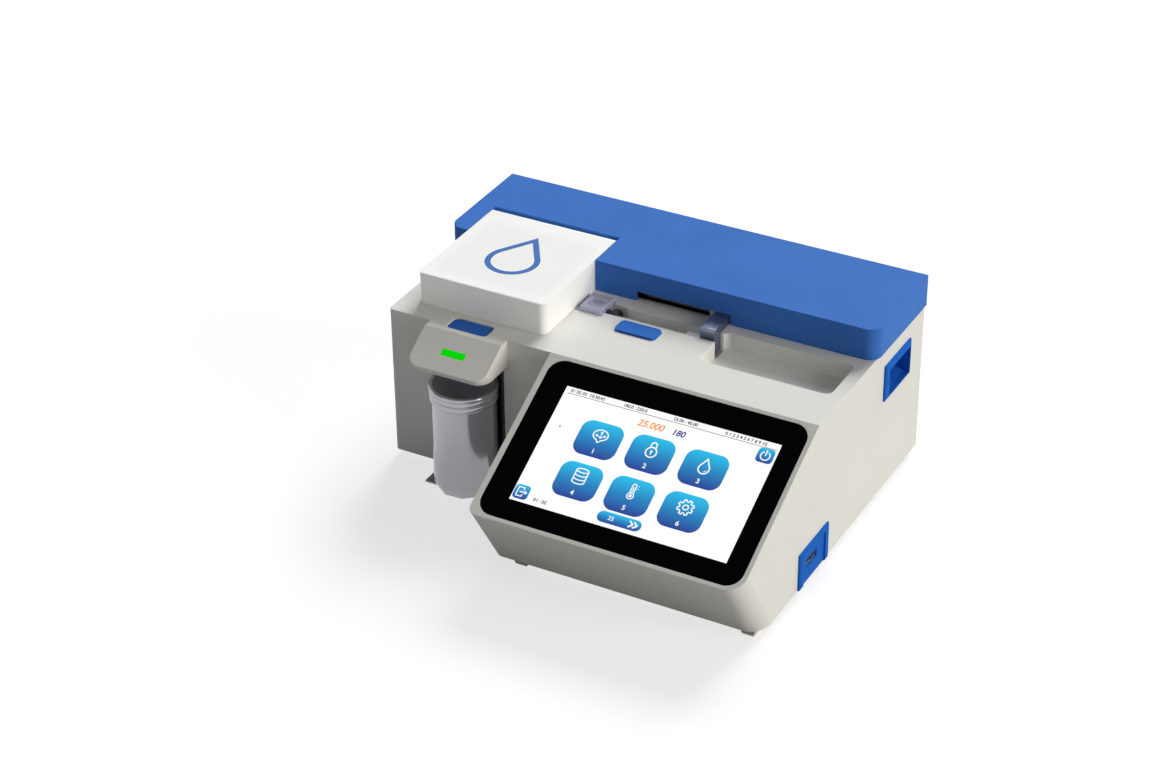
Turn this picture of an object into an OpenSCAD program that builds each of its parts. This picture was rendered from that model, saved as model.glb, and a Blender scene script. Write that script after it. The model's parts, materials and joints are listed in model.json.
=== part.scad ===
// Bench microfluidic viscometer: a cased instrument with a sloping touch screen,
// a hinged lid over its chip bay, a motor-driven pusher for a pipette and a waste bottle.
// Millimetres. X runs to the right, Y to the back, Z up from the table.
// Inside each module Y is counted from the back of the case and Z from its underside.

/* [Case] */
// Width of the case
body_w = 318; // [310:1:330]
// Depth of the flat deck, back to front
deck_d = 172; // [170:1:180]
// Height of the deck above the underside
deck_h = 112.2; // [111:0.2:118]
// Wall thickness of the case
wall_t = 3; // [2.6:0.1:3.2]
// Radius of the upright left front corner of the case
corner_r = 3; // [1:0.5:4]
// Height of the feet
foot_h = 5; // [5:0.5:10]
// Side of the square top of a foot
foot_w = 11; // [9:0.5:12]
// Thickness of the base plate
base_t = 2.5; // [2:0.1:3]
// Thickness of the rear panel
rear_t = 2.5; // [2:0.1:3]

/* [Screen block] */
// Width of the screen block
screen_w = 193.4; // [192:0.2:200]
// Reach of the sloping face in front of the deck
screen_run = 112.3; // [110:0.1:118]
// Drop of the sloping face from the deck to its lower edge
screen_drop = 59.5; // [58:0.1:62]
// How far the chin leans back under the lower edge
chin_back = 32.7; // [28:0.1:34]
// Radius of the right front edge
chin_r = 13; // [11:0.5:14]
// Radius of the left front edge
chin_left_r = 6; // [5:0.5:8]
// Width of the glass
glass_w = 185.5; // [183:0.5:186]
// Height of the glass along the slope
glass_l = 121; // [119:0.5:122]
// Thickness of the glass
glass_t = 1.8; // [1.5:0.1:2]
// Corner radius of the glass
glass_r = 11; // [6:0.5:14]
// Gap from the deck edge to the glass
glass_top = 2.9; // [2.5:0.1:4]
// Gap from the right side of the case to the glass
glass_side = 3.4; // [3:0.1:6]
// Width of the glass beyond the display module, left and right together
lcd_rim = 20.5; // [19.5:0.5:25]
// Height of the display module
lcd_l = 100; // [96:1:101]
// Thickness of the display module
lcd_t = 5; // [4:0.5:6]

/* [Cover] */
// Depth of the blue cover
cover_d = 85.3; // [85:0.1:88]
// Height of the cover above the deck
cover_h = 23.2; // [23:0.1:26]
// Wall thickness of the cover
cover_t = 2.5; // [2:0.1:2.8]
// Overhang of the cover at each side
cover_over = 1.35; // [1:0.05:2]
// Radius of the cover's front corners
cover_r = 9; // [5:0.5:11]
// Reach of the cover's arm beside the lid, from the back of the case
arm_reach = 87.9; // [86:0.1:95]
// Left end of the pusher slot, from the middle of the case
slot_left = -16; // [-18:0.5:-14]
// Height of the pusher slot
slot_h = 7.2; // [7:0.1:8.5]

/* [Lid] */
// Width of the lid
lid_w = 97.9; // [96:0.1:98]
// Depth of the lid
lid_d = 105.4; // [104.5:0.1:106]
// Gap from the left side of the case to the lid
lid_inset = 13.5; // [13.2:0.1:14]
// Gap from the back of the case to the lid
lid_back = 50; // [49.5:0.1:50.5]
// Wall thickness of the lid
lid_t = 2.5; // [2:0.1:3]
// Corner radius of the lid
lid_r = 5; // [3:0.5:7]
// Running gap around the lid
lid_gap = 0.5; // [0.4:0.05:0.8]
// Radius of the hinge pins
hinge_r = 2; // [1.5:0.1:2.5]
// Distance of the hinge line from the lid's top and back
hinge_in = 6; // [5:0.1:7]

/* [Spout] */
// Width of the spout
spout_w = 59; // [57:0.5:60]
// Middle of the spout, from the middle of the case
spout_x = -96.5; // [-97:0.5:-96]
// Length of the flat top of the spout in front of the deck
spout_flat = 7.4; // [7:0.1:9]
// Reach of the spout's slope
spout_run = 26.5; // [25:0.1:28]
// Drop of the spout's slope
spout_drop = 15.6; // [14:0.1:16]
// Height of the spout, top to underside
spout_h = 20.2; // [20:0.1:21]
// Radius of the spout's lower corners
spout_r = 9; // [6:0.5:12]
// Width of the status light
led_w = 17.6; // [14:0.1:20]
// Height of the status light
led_h = 5.1; // [4:0.1:6]
// Distance of the status light down the spout's slope
led_down = 15.6; // [13:0.1:17]

/* [Buttons] */
// Width of a button
button_w = 30; // [28:0.5:31]
// Depth of a button
button_d = 13.5; // [12.5:0.1:13.8]
// Corner radius of a button
button_r = 3; // [1:0.5:4]
// Running gap around a button
button_gap = 0.4; // [0.3:0.05:0.6]
// Travel of a button
button_travel = 2; // [1:0.1:2]
// How far the lid button sits below the deck
lid_button_sunk = 0.8; // [0:0.1:1]
// How far the pipette button stands above the deck
pipette_button_proud = 1.5; // [1:0.1:2]
// Distance of the lid button from the back of the case
lid_button_y = 167.9; // [167.5:0.1:168.5]
// Middle of the pipette button, from the middle of the case
pipette_button_x = 4; // [0:0.5:8]
// Gap between the pipette channel and its button
pipette_button_in = 4.2; // [4:0.1:6]
// Radius of a button's stem
stem_r = 2; // [1.6:0.1:2.2]

/* [Pipette channel] */
// Distance of the pipette from the back of the case
pipette_back = 104; // [103.9:0.1:104.3]
// Depth of the pipette's axis below the deck
pipette_sunk = 5.2; // [5:0.1:5.4]
// Depth of the channel
channel_depth = 13.7; // [13.5:0.1:14.5]
// Width of the channel in front of the pipette's axis
channel_front = 6; // [6:0.1:6.4]
// Width of the channel behind the pipette's axis
channel_rear = 6; // [5.8:0.1:6.2]
// Length of the finger well
well_l = 94.4; // [90:0.1:95]
// Left end of the finger well, from the middle of the case
well_left = 55.6; // [55.6:0.1:57]
// Back edge of the finger well, from the back of the case
well_back = 95; // [94:0.5:97]
// Front edge of the finger well, from the back of the case
well_front = 135.5; // [130:0.5:140]
// Depth of the finger well
well_depth = 12.2; // [10:0.1:14]
// Corner radius of the finger well
well_r = 5; // [3:0.5:8]

/* [Pipette] */
// Outside radius of the barrel
barrel_r = 4.6; // [4.4:0.1:4.8]
// Bore radius of the barrel
barrel_bore = 2.6; // [2.3:0.1:3]
// Outside radius of the collar behind the block
collar_r = 5.8; // [5.5:0.1:5.9]
// Radius of the plunger rod
rod_r = 1.6; // [1.2:0.1:1.8]
// Length of the ribbed plunger pad
pad_l = 11.3; // [10:0.1:12]
// Radius of the plunger pad
pad_r = 3.9; // [3:0.1:4.2]
// Stroke of the pusher and plunger
stroke = 50; // [40:1:50]

/* [Pusher drive] */
// Left face of the pusher, from the middle of the case
pusher_left = 43.3; // [42:0.1:43.5]
// Width of the pusher
pusher_w = 10.7; // [9:0.1:10.7]
// Thickness of the pusher's side fin
fin_t = 2.3; // [1.5:0.1:3]
// Distance of the lead screw from the back of the case
drive_back = 60; // [59.5:0.1:60.5]
// Depth of the lead screw below the deck
drive_sunk = 0.2; // [0:0.1:0.6]
// Radius of the lead screw
screw_r = 3; // [2.5:0.1:3.2]
// Radius of the guide rods
guide_r = 2.5; // [2:0.1:3]
// Distance of each guide rod from the lead screw
guide_off = 14; // [13.5:0.1:14.5]
// Side of the stepper motor
motor_w = 28; // [26:0.5:29]
// Length of the stepper motor
motor_l = 32; // [28:0.5:33]
// Running clearance of shafts in their bores
run_fit = 0.05; // [0.02:0.01:0.09]

/* [Waste bottle] */
// Radius of the bottle's body
bottle_r = 22.2; // [20:0.1:22.5]
// Radius of the bottle's rim
rim_r = 23.9; // [23:0.1:24]
// Height of the bottle
bottle_h = 80.2; // [78:0.1:81]
// Wall thickness of the bottle
bottle_t = 1.5; // [1.2:0.1:2.5]
// Distance of the bottle's axis in front of the deck's front edge
bottle_out = 9.2; // [9:0.1:11]
// Gap between the bottle's rim and its cradle
cradle_gap = 1.3; // [1:0.1:1.6]
// Thickness of the shelf plate
shelf_t = 1; // [0.8:0.1:1.2]

/* [Side fittings] */
// How far the blue side fittings stand out
side_proud = 2; // [1.5:0.1:3]
// Length of a side grip
grip_l = 43; // [43:0.5:46]
// Height of a side grip
grip_h = 27; // [26.5:0.5:30]
// Depth of the finger pocket in a side grip
grip_depth = 20; // [16:0.5:21]
// Distance of a side grip's back edge from the back of the case
grip_back = 24; // [23:0.5:26]
// Height of a side grip's lower edge
grip_z = 72; // [70:0.5:73]
// Length of the data port's frame
usb_l = 45; // [42:0.5:48]
// Height of the data port's frame
usb_h = 27.7; // [27:0.1:30]
// Distance of the data port from the back of the case
usb_back = 174.5; // [173:0.5:178]
// Height of the data port's middle
usb_z = 14; // [13:0.1:15]

/* [Rear fittings] */
// Side of the fan
fan_w = 60; // [50:1:60]
// Thickness of the fan
fan_t = 15; // [12:0.5:20]
// Middle of the fan, from the right side of the case
fan_side = 63; // [59:1:69]
// Depth of the fan's middle below the deck
fan_down = 60.2; // [58.2:1:64.2]
// Width of the power inlet's body
inlet_w = 28; // [27:0.5:30]
// Height of the power inlet's body
inlet_h = 50; // [50:0.5:54]
// Middle of the power inlet, from the left side of the case
inlet_side = 37; // [35:0.5:49]
// Height of the power inlet's underside
inlet_z = 16; // [14:0.5:24]
// How far the rear fittings stand out
rear_proud = 1.5; // [1.5:0.1:2]
// Left side of the network socket, from the middle of the case
net_x = 0; // [-20:1:30]
// Height of the network socket's underside
net_z = 20; // [12:1:40]

/* [Chip bay] */
// Width of the chip bay's tub
bay_w = 83.6; // [83:0.1:84]
// Depth of the chip bay's tub
bay_d = 78; // [76:0.5:79]
// Wall thickness of the tub
bay_t = 3; // [2.5:0.1:3.2]
// Depth of the tub below the deck
bay_sunk = 32.2; // [31:0.1:33]
// Side of the square thermal block
block_w = 46; // [44:0.5:47]
// Thickness of the thermoelectric cooler
cooler_t = 3.8; // [3.2:0.1:4.5]
// Side of the square heat sink
sink_w = 60; // [50:1:64]
// Height of the heat sink
sink_h = 29; // [24:0.5:30]

/* [Hidden] */
$fn = 48;

half_w = body_w / 2;
inner_w = half_w - wall_t;
total_d = deck_d + screen_run + rear_proud;
rear_y = total_d / 2 - rear_proud;
past = 1;          // how far a cut runs past the face it opens
fit = 0.2;         // gap between a fitted piece and its seat
inner_h = deck_h - wall_t;
fan_x = half_w - fan_side;
fan_z = deck_h - fan_down;
inlet_x = -half_w + inlet_side;

// The sloping screen face and the chin below it, as lines in the Y-Z plane
screen_x0 = half_w - screen_w;
join_x = 0;        // where the deck's left part ends inside the screen block
slope_a = atan(screen_drop / screen_run);
slope_l = sqrt(screen_run * screen_run + screen_drop * screen_drop);
nose_y = -deck_d - screen_run;
nose_z = deck_h - screen_drop;
chin_a = atan(chin_back / nose_z);
glass_x1 = half_w - glass_side;
glass_x0 = glass_x1 - glass_w;
glass_y1 = -glass_top;
glass_y0 = -glass_top - glass_l;
lcd_w = glass_w - lcd_rim;
lcd_x = (glass_x0 + glass_x1) / 2 + 2;
lcd_y = (glass_y0 + glass_y1) / 2 - 1.1;
ledge_w = 3;       // rim that the glass rests on, beyond the display module
bracket_t = 1.5;   // sheet thickness of the display frame

// The lid, the notch it sits in and its hinge
lid_x0 = -half_w + lid_inset;
lid_x1 = lid_x0 + lid_w;
lid_y1 = -lid_back;
lid_y0 = lid_y1 - lid_d;
lid_z0 = deck_h + fit;
lid_z1 = deck_h + cover_h;
hinge_y = lid_y1 - hinge_in;
hinge_z = lid_z1 - hinge_in;
notch_x0 = lid_x0 - lid_gap;
notch_x1 = lid_x1 + lid_gap;
notch_y = lid_y1 + lid_gap;
boss_r = hinge_in - 0.5;
arm_r2 = 2;        // radius of the arm's corner beside the lid

// The spout
spout_x0 = spout_x - spout_w / 2;
spout_x1 = spout_x + spout_w / 2;
spout_top_y = -deck_d - spout_flat;
spout_a = atan(spout_drop / spout_run);
spout_l = sqrt(spout_run * spout_run + spout_drop * spout_drop);
spout_z0 = deck_h - spout_h;
spout_t = 2.5;     // wall of the spout

// The bottle and the pocket behind it
bottle_y = -deck_d - bottle_out;
shelf_lift = 0.2;  // gap between the shelf and the table
shelf_z = shelf_lift + shelf_t - foot_h;
cradle_r = rim_r + cradle_gap;
cradle_t = 1.8;    // thinnest wall of the cradle
pocket_w = 2 * (cradle_r + 0.9);
pocket_x0 = spout_x - pocket_w / 2;
pocket_x1 = spout_x + pocket_w / 2;
pocket_y1 = bottle_y + cradle_r + cradle_t;
pocket_t = 2;      // wall of the pocket
nozzle_r = 9;
nozzle_drop = 9;   // length of the nozzle under the spout
tube_r = 1.5;

// The pipette, its channel and the finger well
pip_y = -pipette_back;
pip_z = deck_h - pipette_sunk;
channel_y0 = pip_y - channel_front;
channel_y1 = pip_y + channel_rear;
channel_z = deck_h - channel_depth;
well_x1 = well_left + well_l;
well_y1 = -well_back;
well_y0 = -well_front;
well_z = deck_h - well_depth;
shell_t = 2;       // wall of the channel, the well and the drive tray
holder_x0 = -44;   // left face of the pipette block
holder_x1 = -28;   // right face of the pipette block
holder_y0 = pip_y - 10;
holder_y1 = pip_y + 10;
holder_top = 3.3;  // height of the pipette block above the deck
holder_gap = 1;    // gap around the pipette block in its pocket
collar_x0 = -26;
collar_x1 = -19;
collar_room = 7.6; // channel width behind the axis at the collar
barrel_x0 = -88;
tip_x0 = -97;
tip_r = 1.5;
plunger_x1 = pusher_left - 0.05;
piston_x0 = -36;
piston_l = 5;

// The chip bay's tub and what it holds
bay_x0 = -138;
bay_x1 = bay_x0 + bay_w;
bay_y1 = -64;
bay_y0 = bay_y1 - bay_d;
bay_z0 = deck_h - bay_sunk;
bay_floor = bay_z0 + bay_t;
bay_rim = 2;       // width of the tub's rim on the deck
rim_t = 1;         // thickness of the tub's rim
stack_x = -107;    // middle of the thermal stack
stack_y = pip_y;
block_top = pip_z - 9;
block_z0 = bay_z0 - 10;
carrier_x0 = -129;
carrier_x1 = -93;
carrier_half = 20;
carrier_top = pip_z + 5;
chip_l = 20;
chip_w = 8;
chip_t = 2;
clamp_t = 1.6;

// The buttons
button_x = [spout_x - 1, pipette_button_x];
button_y = [-lid_button_y, channel_y0 - pipette_button_in - button_d / 2];
button_top = [deck_h - lid_button_sunk, deck_h + pipette_button_proud];
flange_t = 1.5;
flange_out = 1.1;  // how far the retaining flange reaches past the cap
flange_z1 = inner_h - 0.05;
flange_z0 = flange_z1 - flange_t;
bracket_z1 = flange_z0 - 7.2;
bracket_z0 = bracket_z1 - 2;
bracket_half = button_w / 2 + flange_out + 2.9;
bracket_d = 11;
post_w = 2;
stem_below = 1.4;  // stem length under the bracket at rest
spring_r = 4;
wire_r = 0.4;
spring_turns = 4;

// The latch
latch_y1 = lid_y0 + lid_t + 2;
latch_half = 12.5;
latch_x = spout_x;
prong_w = 8;
prong_z0 = deck_h - 6.2;
latch_z1 = deck_h + 12.8;
latch_bridge = 7;
latch_slot_y0 = lid_y0 + 0.6;
latch_slot_y1 = latch_y1 + 2.4;
catch_t = 3;       // thickness of the catch that the latch's noses meet
catch_h = 8;

// The pusher drive
drive_y = -drive_back;
drive_z = deck_h - drive_sunk;
tray_x0 = -44;
tray_x1 = 133;
tray_y0 = -80.5;
tray_y1 = -8;
tray_z = deck_h - 20.2;
frame_t = 4;
frame_x0 = -42;
frame_x1 = 96;
frame_base = 3;
frame_half = guide_off + 4.5;
frame_z1 = drive_z + 11;
block_x0 = pusher_left - 6.6;
block_l = 28;
block_half = guide_off + 5.5;
block_low = 8;     // height of the carriage block below the screw
block_high = 6.8;  // height of the carriage block above the screw
bush_r = guide_r + 1.5;
bush_l = 8;
nut_r = screw_r + 3;
nut_flange_r = nut_r + 3;
nut_flange_t = 3;
journal_r = screw_r - 0.5;
bearing_r = 5.5;
coupler_x0 = 72;
coupler_x1 = 90;
coupler_r = 6.5;
shaft_r = 2.5;
shaft_in = 6;      // how far the motor's shaft reaches into the motor
arm_z0 = deck_h + 0.8;
arm_z1 = deck_h + 6.8;
arm_r = 2.5;       // radius along the pusher's top front edge
head_reach = 4;    // distance of the pusher's face in front of the pipette's axis
head_z0 = channel_z + 2;
slot_x1 = pusher_left + pusher_w + 0.8;

// The side fittings
cup_t = 1.5;
cup_y1 = -grip_back - 2;
cup_y0 = -grip_back - grip_l + 6;
cup_z0 = grip_z + 1.5;
cup_z1 = grip_z + grip_h - 5;
grip_flange_bevel = 1.5;
usb_y0 = -usb_back - usb_l / 2;
usb_y1 = -usb_back + usb_l / 2;
usb_open_w = 15;
usb_open_h = 6;
usb_y = -usb_back - 2;
usb_border = 6;
usb_plug_in = 1.6; // how far the frame's plug stays inside its border
usb_panel_t = 0.6; // thickness of the recessed panel on the case
usb_low = 0.1;     // lower edge of the frame
usb_plug_z = base_t + 0.7;
usb_plug_l = wall_t + 0.8;
socket_w = 13.2;
socket_h = 5.8;
socket_l = 14;
socket_t = 0.35;

// Fasteners
screw_hole_r = 1.5;
head_r = 2.8;
head_t = rear_proud - 0.1;
screw_l = 10;
boss_out_r = 5;
boss_in = 4.5;     // distance of a screw from the inside of the wall
boss_x = inner_w - boss_in;
base_bosses = [[-boss_x, -12], [boss_x, -12], [-boss_x, -150], [boss_x, -140],
    [screen_x0 + wall_t + boss_in, -225], [boss_x, -225]];
base_boss_h = 22;
rear_boss_z = [36, inner_h - boss_in];
rear_boss_l = 12;
foot_in = 10.6;    // distance of a foot's middle from the side of the case
feet_at = [[screen_x0 + 18.3, nose_y + chin_back + 8.1],
    [half_w - foot_in, nose_y + chin_back + 8.1],
    [-half_w + foot_in, -32], [half_w - foot_in, -32]];

// Point where the line through p along u meets the line through q along v
function meet(p, u, q, v) =
    let (k = ((q[0] - p[0]) * v[1] - (q[1] - p[1]) * v[0]) / (u[0] * v[1] - u[1] * v[0]))
    [p[0] + k * u[0], p[1] + k * u[1]];

level = [1, 0];
upright = [0, 1];
slope_u = [-cos(slope_a), -sin(slope_a)];
slope_n = [-sin(slope_a), cos(slope_a)];
chin_u = [sin(chin_a), -cos(chin_a)];
chin_n = [-cos(chin_a), -sin(chin_a)];
spout_u = [-cos(spout_a), -sin(spout_a)];
spout_n = [-sin(spout_a), cos(spout_a)];

function slope_pt(i) = [-deck_d, deck_h] - i * slope_n;
function chin_pt(i) = [nose_y, nose_z] - i * chin_n;
function spout_pt(i) = [spout_top_y, deck_h] - i * spout_n;

// Y of the chin's inner face at a height
function chin_y(i, z) = meet(chin_pt(i), chin_u, [0, z], level)[0];

// Placing helpers
module place() translate([0, rear_y, foot_h]) children();

module slab(x0, x1, y0, y1, z0, z1)
    translate([x0, y0, z0]) cube([x1 - x0, y1 - y0, z1 - z0]);

module rod_x(x0, x1, y, z, r)
    translate([x0, y, z]) rotate([0, 90, 0]) cylinder(r = r, h = x1 - x0);

module rod_y(x, y0, y1, z, r)
    translate([x, y1, z]) rotate([90, 0, 0]) cylinder(r = r, h = y1 - y0);

module rod_z(x, y, z0, z1, r)
    translate([x, y, z0]) cylinder(r = r, h = z1 - z0);

// Extrudes an outline drawn in Y and Z along X
module along_x(x0, x1)
    translate([x0, 0, 0]) rotate([90, 0, 90]) linear_extrude(x1 - x0) children();

// Extrudes an outline drawn in X and Z along Y
module along_y(y0, y1)
    translate([0, y1, 0]) rotate([90, 0, 0]) linear_extrude(y1 - y0) children();

// Rectangle with one radius for each corner: front left, front right, rear right, rear left
module plan(x0, x1, y0, y1, r) {
    spots = [[x0, y0, 1, 1], [x1, y0, -1, 1], [x1, y1, -1, -1], [x0, y1, 1, -1]];
    polygon([
        for (i = [0 : 3])
            for (j = (r[i] > 0 ? [0, 1] : [0]))
                let (s = spots[i], turn = (i % 2 == 0) ? j : 1 - j)
                r[i] > 0
                    ? [s[0] + (turn == 0 ? 0 : s[2] * r[i]), s[1] + (turn == 0 ? s[3] * r[i] : 0)]
                    : [s[0], s[1]]
    ]);
    for (i = [0 : 3])
        if (r[i] > 0) {
            middle = [spots[i][0] + spots[i][2] * r[i], spots[i][1] + spots[i][3] * r[i]];
            intersection() {
                translate(middle) circle(r[i]);
                translate([min(spots[i][0], middle[0]), min(spots[i][1], middle[1])]) square(r[i]);
            }
        }
}

module soft_slab(x0, x1, y0, y1, z0, z1, r)
    translate([0, 0, z0]) linear_extrude(z1 - z0) plan(x0, x1, y0, y1, [r, r, r, r]);

// Frame on the screen's slope: X to the right, Y up the slope, Z out of the face
module on_slope()
    translate([0, -deck_d, deck_h]) rotate([slope_a, 0, 0]) children();

module on_spout()
    translate([0, spout_top_y, deck_h]) rotate([spout_a, 0, 0]) children();

// Case

// The profiles run on past the chin and the sides, which the leaning prisms then trim
module screen_form(i) {
    back = (i > 0) ? past : 0;
    low = (i > 0) ? -past : 0;
    top = meet(slope_pt(i), slope_u, [0, deck_h - i], level);
    far = slope_pt(i) + (slope_l + 2 * chin_r) * slope_u;
    intersection() {
        along_x(screen_x0 - past, half_w + past)
            polygon([[back, deck_h - i], top, far, [far[0], low], [back, low]]);
        translate([0, nose_y, nose_z]) rotate([chin_a, 0, 0])
            translate([0, 0, -2 * deck_d]) linear_extrude(4 * deck_d)
                plan(screen_x0 + i, half_w - i, i, 3 * deck_d,
                    [chin_left_r - i, chin_r - i, 0, 0]);
    }
}

module spout_form(i) {
    deep = deck_d - 20;
    roof = (i > 0) ? inner_h : deck_h;
    top = meet(spout_pt(i), spout_u, [0, roof], level);
    low = meet(spout_pt(i), spout_u, [0, spout_z0 + i], level);
    intersection() {
        along_x(spout_x0 - past, spout_x1 + past)
            polygon([[-deep, roof], top, low, [-deep, spout_z0 + i]]);
        on_spout() translate([0, 0, -deck_h]) linear_extrude(2 * deck_h)
            plan(spout_x0 + i, spout_x1 - i, -spout_l + i, deck_d,
                [spout_r - i, spout_r - i, 0, 0]);
    }
}

module button_hole(k)
    soft_slab(button_x[k] - button_w / 2 - button_gap, button_x[k] + button_w / 2 + button_gap,
        button_y[k] - button_d / 2 - button_gap, button_y[k] + button_d / 2 + button_gap,
        flange_z0, deck_h + past, button_r + button_gap);

module channel_cut(z0, out) {
    slab(bay_x1 - past, holder_x1 + holder_gap + out, holder_y0 - holder_gap - out,
        holder_y1 + holder_gap + out, z0, deck_h + past);
    slab(holder_x1, collar_x1 + 3 + out, channel_y0 - out, pip_y + collar_room + out,
        z0, deck_h + past);
    slab(holder_x1, well_left + past, channel_y0 - out, channel_y1 + out, z0, deck_h + past);
}

module well_cut(z0, out)
    soft_slab(well_left - out, well_x1 + out, well_y0 - out, well_y1 + out,
        z0, deck_h + past, well_r + out);

module tray_cut(z0, out)
    slab(tray_x0 - out, tray_x1 + out, tray_y0 - out, tray_y1 + out, z0, deck_h + past);

module inner_shells() {
    intersection() {
        union() {
            channel_cut(channel_z - shell_t, shell_t);
            well_cut(well_z - shell_t, shell_t);
            tray_cut(tray_z - shell_t, shell_t);
        }
        slab(-half_w, half_w, -deck_d, 0, 0, deck_h);
    }
    slab(pocket_x0 - pocket_t, pocket_x1 + pocket_t, -deck_d, pocket_y1 + pocket_t,
        0, spout_z0 + spout_t);
    slab(latch_x - latch_half - 3, latch_x + latch_half + 3, latch_slot_y1, latch_slot_y1 + catch_t,
        inner_h - catch_h, inner_h);
    for (p = base_bosses)
        rod_z(p[0], p[1], base_t, base_t + base_boss_h, boss_out_r);
    for (x = [-boss_x, boss_x], z = rear_boss_z)
        rod_y(x, -rear_t - rear_boss_l, -rear_t, z, boss_out_r);
}

module grip_hole(side)
    slab(side > 0 ? inner_w - past : -half_w - past, side > 0 ? half_w + past : -inner_w + past,
        cup_y0 - cup_t, cup_y1 + cup_t, cup_z0 - cup_t, cup_z1 + cup_t);

module usb_hole()
    slab(inner_w - past, half_w + past, usb_y0 + usb_plug_in - fit, usb_y1 - usb_plug_in + fit,
        usb_plug_z - fit, usb_h - usb_plug_in + fit);

module housing() color("gainsboro") place() difference() {
    union() {
        linear_extrude(deck_h) plan(-half_w, join_x, -deck_d, 0, [corner_r, 0, 0, 0]);
        screen_form(0);
        spout_form(0);
    }
    difference() {
        union() {
            slab(-inner_w, join_x, -deck_d + wall_t, past, -past, inner_h);
            screen_form(wall_t);
            spout_form(spout_t);
        }
        inner_shells();
    }
    channel_cut(channel_z, 0);
    well_cut(well_z, 0);
    tray_cut(tray_z, 0);
    slab(bay_x0 - fit, bay_x1 + fit, bay_y0 - fit, bay_y1 + fit, bay_z0 - past, deck_h + past);
    slab(pocket_x0, pocket_x1, -deck_d - past, pocket_y1, -past, spout_z0);
    button_hole(0);
    button_hole(1);
    slab(latch_x - latch_half - 1.5, latch_x + latch_half + 1.5, latch_slot_y0, latch_slot_y1,
        inner_h - past, deck_h + past);
    rod_z(spout_x, bottle_y, spout_z0 - past, spout_z0 + spout_t + past, nozzle_r / 2);
    for (p = base_bosses)
        rod_z(p[0], p[1], base_t - past, screw_l, screw_hole_r);
    for (x = [-boss_x, boss_x], z = rear_boss_z)
        rod_y(x, -screw_l, past, z, screw_hole_r);
    grip_hole(1);
    grip_hole(-1);
    usb_hole();
    on_slope() {
        translate([0, 0, -glass_t]) linear_extrude(wall_t)
            plan(glass_x0 - fit, glass_x1 + fit, glass_y0 - fit, glass_y1 + fit,
                [glass_r, glass_r, glass_r, glass_r]);
        slab(lcd_x - lcd_w / 2 - ledge_w, lcd_x + lcd_w / 2 + ledge_w,
            lcd_y - lcd_l / 2 - ledge_w, lcd_y + lcd_l / 2 + ledge_w, -wall_t - past, 0);
    }
    on_spout()
        slab(spout_x - led_w / 2, spout_x + led_w / 2, -led_down - led_h / 2,
            -led_down + led_h / 2, -spout_t - past, past);
}

base_edge = inner_w - fit;
base_front = chin_y(wall_t, 0) + fit;
base_corner = chin_r - wall_t + 2;

module base_plate() color("silver") place() difference() {
    linear_extrude(base_t) {
        plan(-base_edge, base_edge, -deck_d + wall_t + fit, -rear_t - fit, [1, 1, 1, 1]);
        plan(screen_x0 + wall_t + fit, base_edge, base_front, -deck_d / 2,
            [base_corner, base_corner, 0, 0]);
    }
    slab(pocket_x0 - pocket_t - fit, pocket_x1 + pocket_t + fit, -deck_d, pocket_y1 + pocket_t + fit,
        -past, base_t + past);
    for (p = base_bosses)
        rod_z(p[0], p[1], -past, base_t + past, screw_hole_r);
    for (x = [-base_edge + 135.8 : 12 : base_edge - 40])
        slab(x, x + 4, -deck_d + 52, -deck_d + 92, -past, base_t + past);
}

inlet_x0 = inlet_x - inlet_w / 2;
inlet_x1 = inlet_x + inlet_w / 2;
net_w = 16;
net_h = 14;
fan_bore = fan_w / 2 - 2;

module rear_panel() color("silver") place() difference() {
    slab(-base_edge, base_edge, -rear_t, 0, fit, inner_h - fit);
    slab(inlet_x0, inlet_x1, -rear_t - past, past, inlet_z, inlet_z + inlet_h);
    slab(net_x, net_x + net_w, -rear_t - past, past, net_z, net_z + net_h);
    rod_y(fan_x, -rear_t - past, past, fan_z, fan_bore);
    for (x = [-boss_x, boss_x], z = rear_boss_z)
        rod_y(x, -rear_t - past, past, z, screw_hole_r);
    for (z = [inner_h - 39 : 6 : inner_h - 9])
        slab(-half_w + 99, half_w - 129, -rear_t - past, past, z, z + 2.4);
}

module foot() intersection() {
    taper = 1.2;
    along_x(-foot_w / 2, foot_w / 2)
        polygon([[-foot_w / 2, 0], [foot_w / 2, 0], [foot_w / 2 - taper, -foot_h],
            [-foot_w / 2 + taper, -foot_h]]);
    along_y(-foot_w / 2, foot_w / 2)
        polygon([[-foot_w / 2, 0], [foot_w / 2, 0], [foot_w / 2 - taper, -foot_h],
            [-foot_w / 2 + taper, -foot_h]]);
}

module feet() color("antiquewhite") place()
    for (p = feet_at)
        translate([p[0], p[1], 0]) foot();

module screw() difference() {
    union() {
        translate([0, 0, -head_t]) cylinder(r = head_r, h = head_t);
        cylinder(r = screw_hole_r, h = screw_l);
    }
    translate([0, 0, -head_t - past]) cylinder(r = 1.2, h = past + 1, $fn = 6);
}

module housing_screws() color("dimgray") place() {
    for (p = base_bosses)
        translate([p[0], p[1], 0]) screw();
    for (x = [-boss_x, boss_x], z = rear_boss_z)
        translate([x, 0, z]) rotate([90, 0, 0]) screw();
}

// Cover

module cover_plan(i) {
    left = -half_w - cover_over + i;
    right = half_w + cover_over - i;
    plan(left, right, notch_y + i, -i, [0, 0, 0, 0]);
    plan(notch_x1 + i, right, -cover_d + i, -i, [0, cover_r - i, 0, 0]);
    plan(left, notch_x0 - i, -arm_reach + i, -i, [cover_r - i, max(arm_r2 - i, 0), 0, 0]);
}

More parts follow.
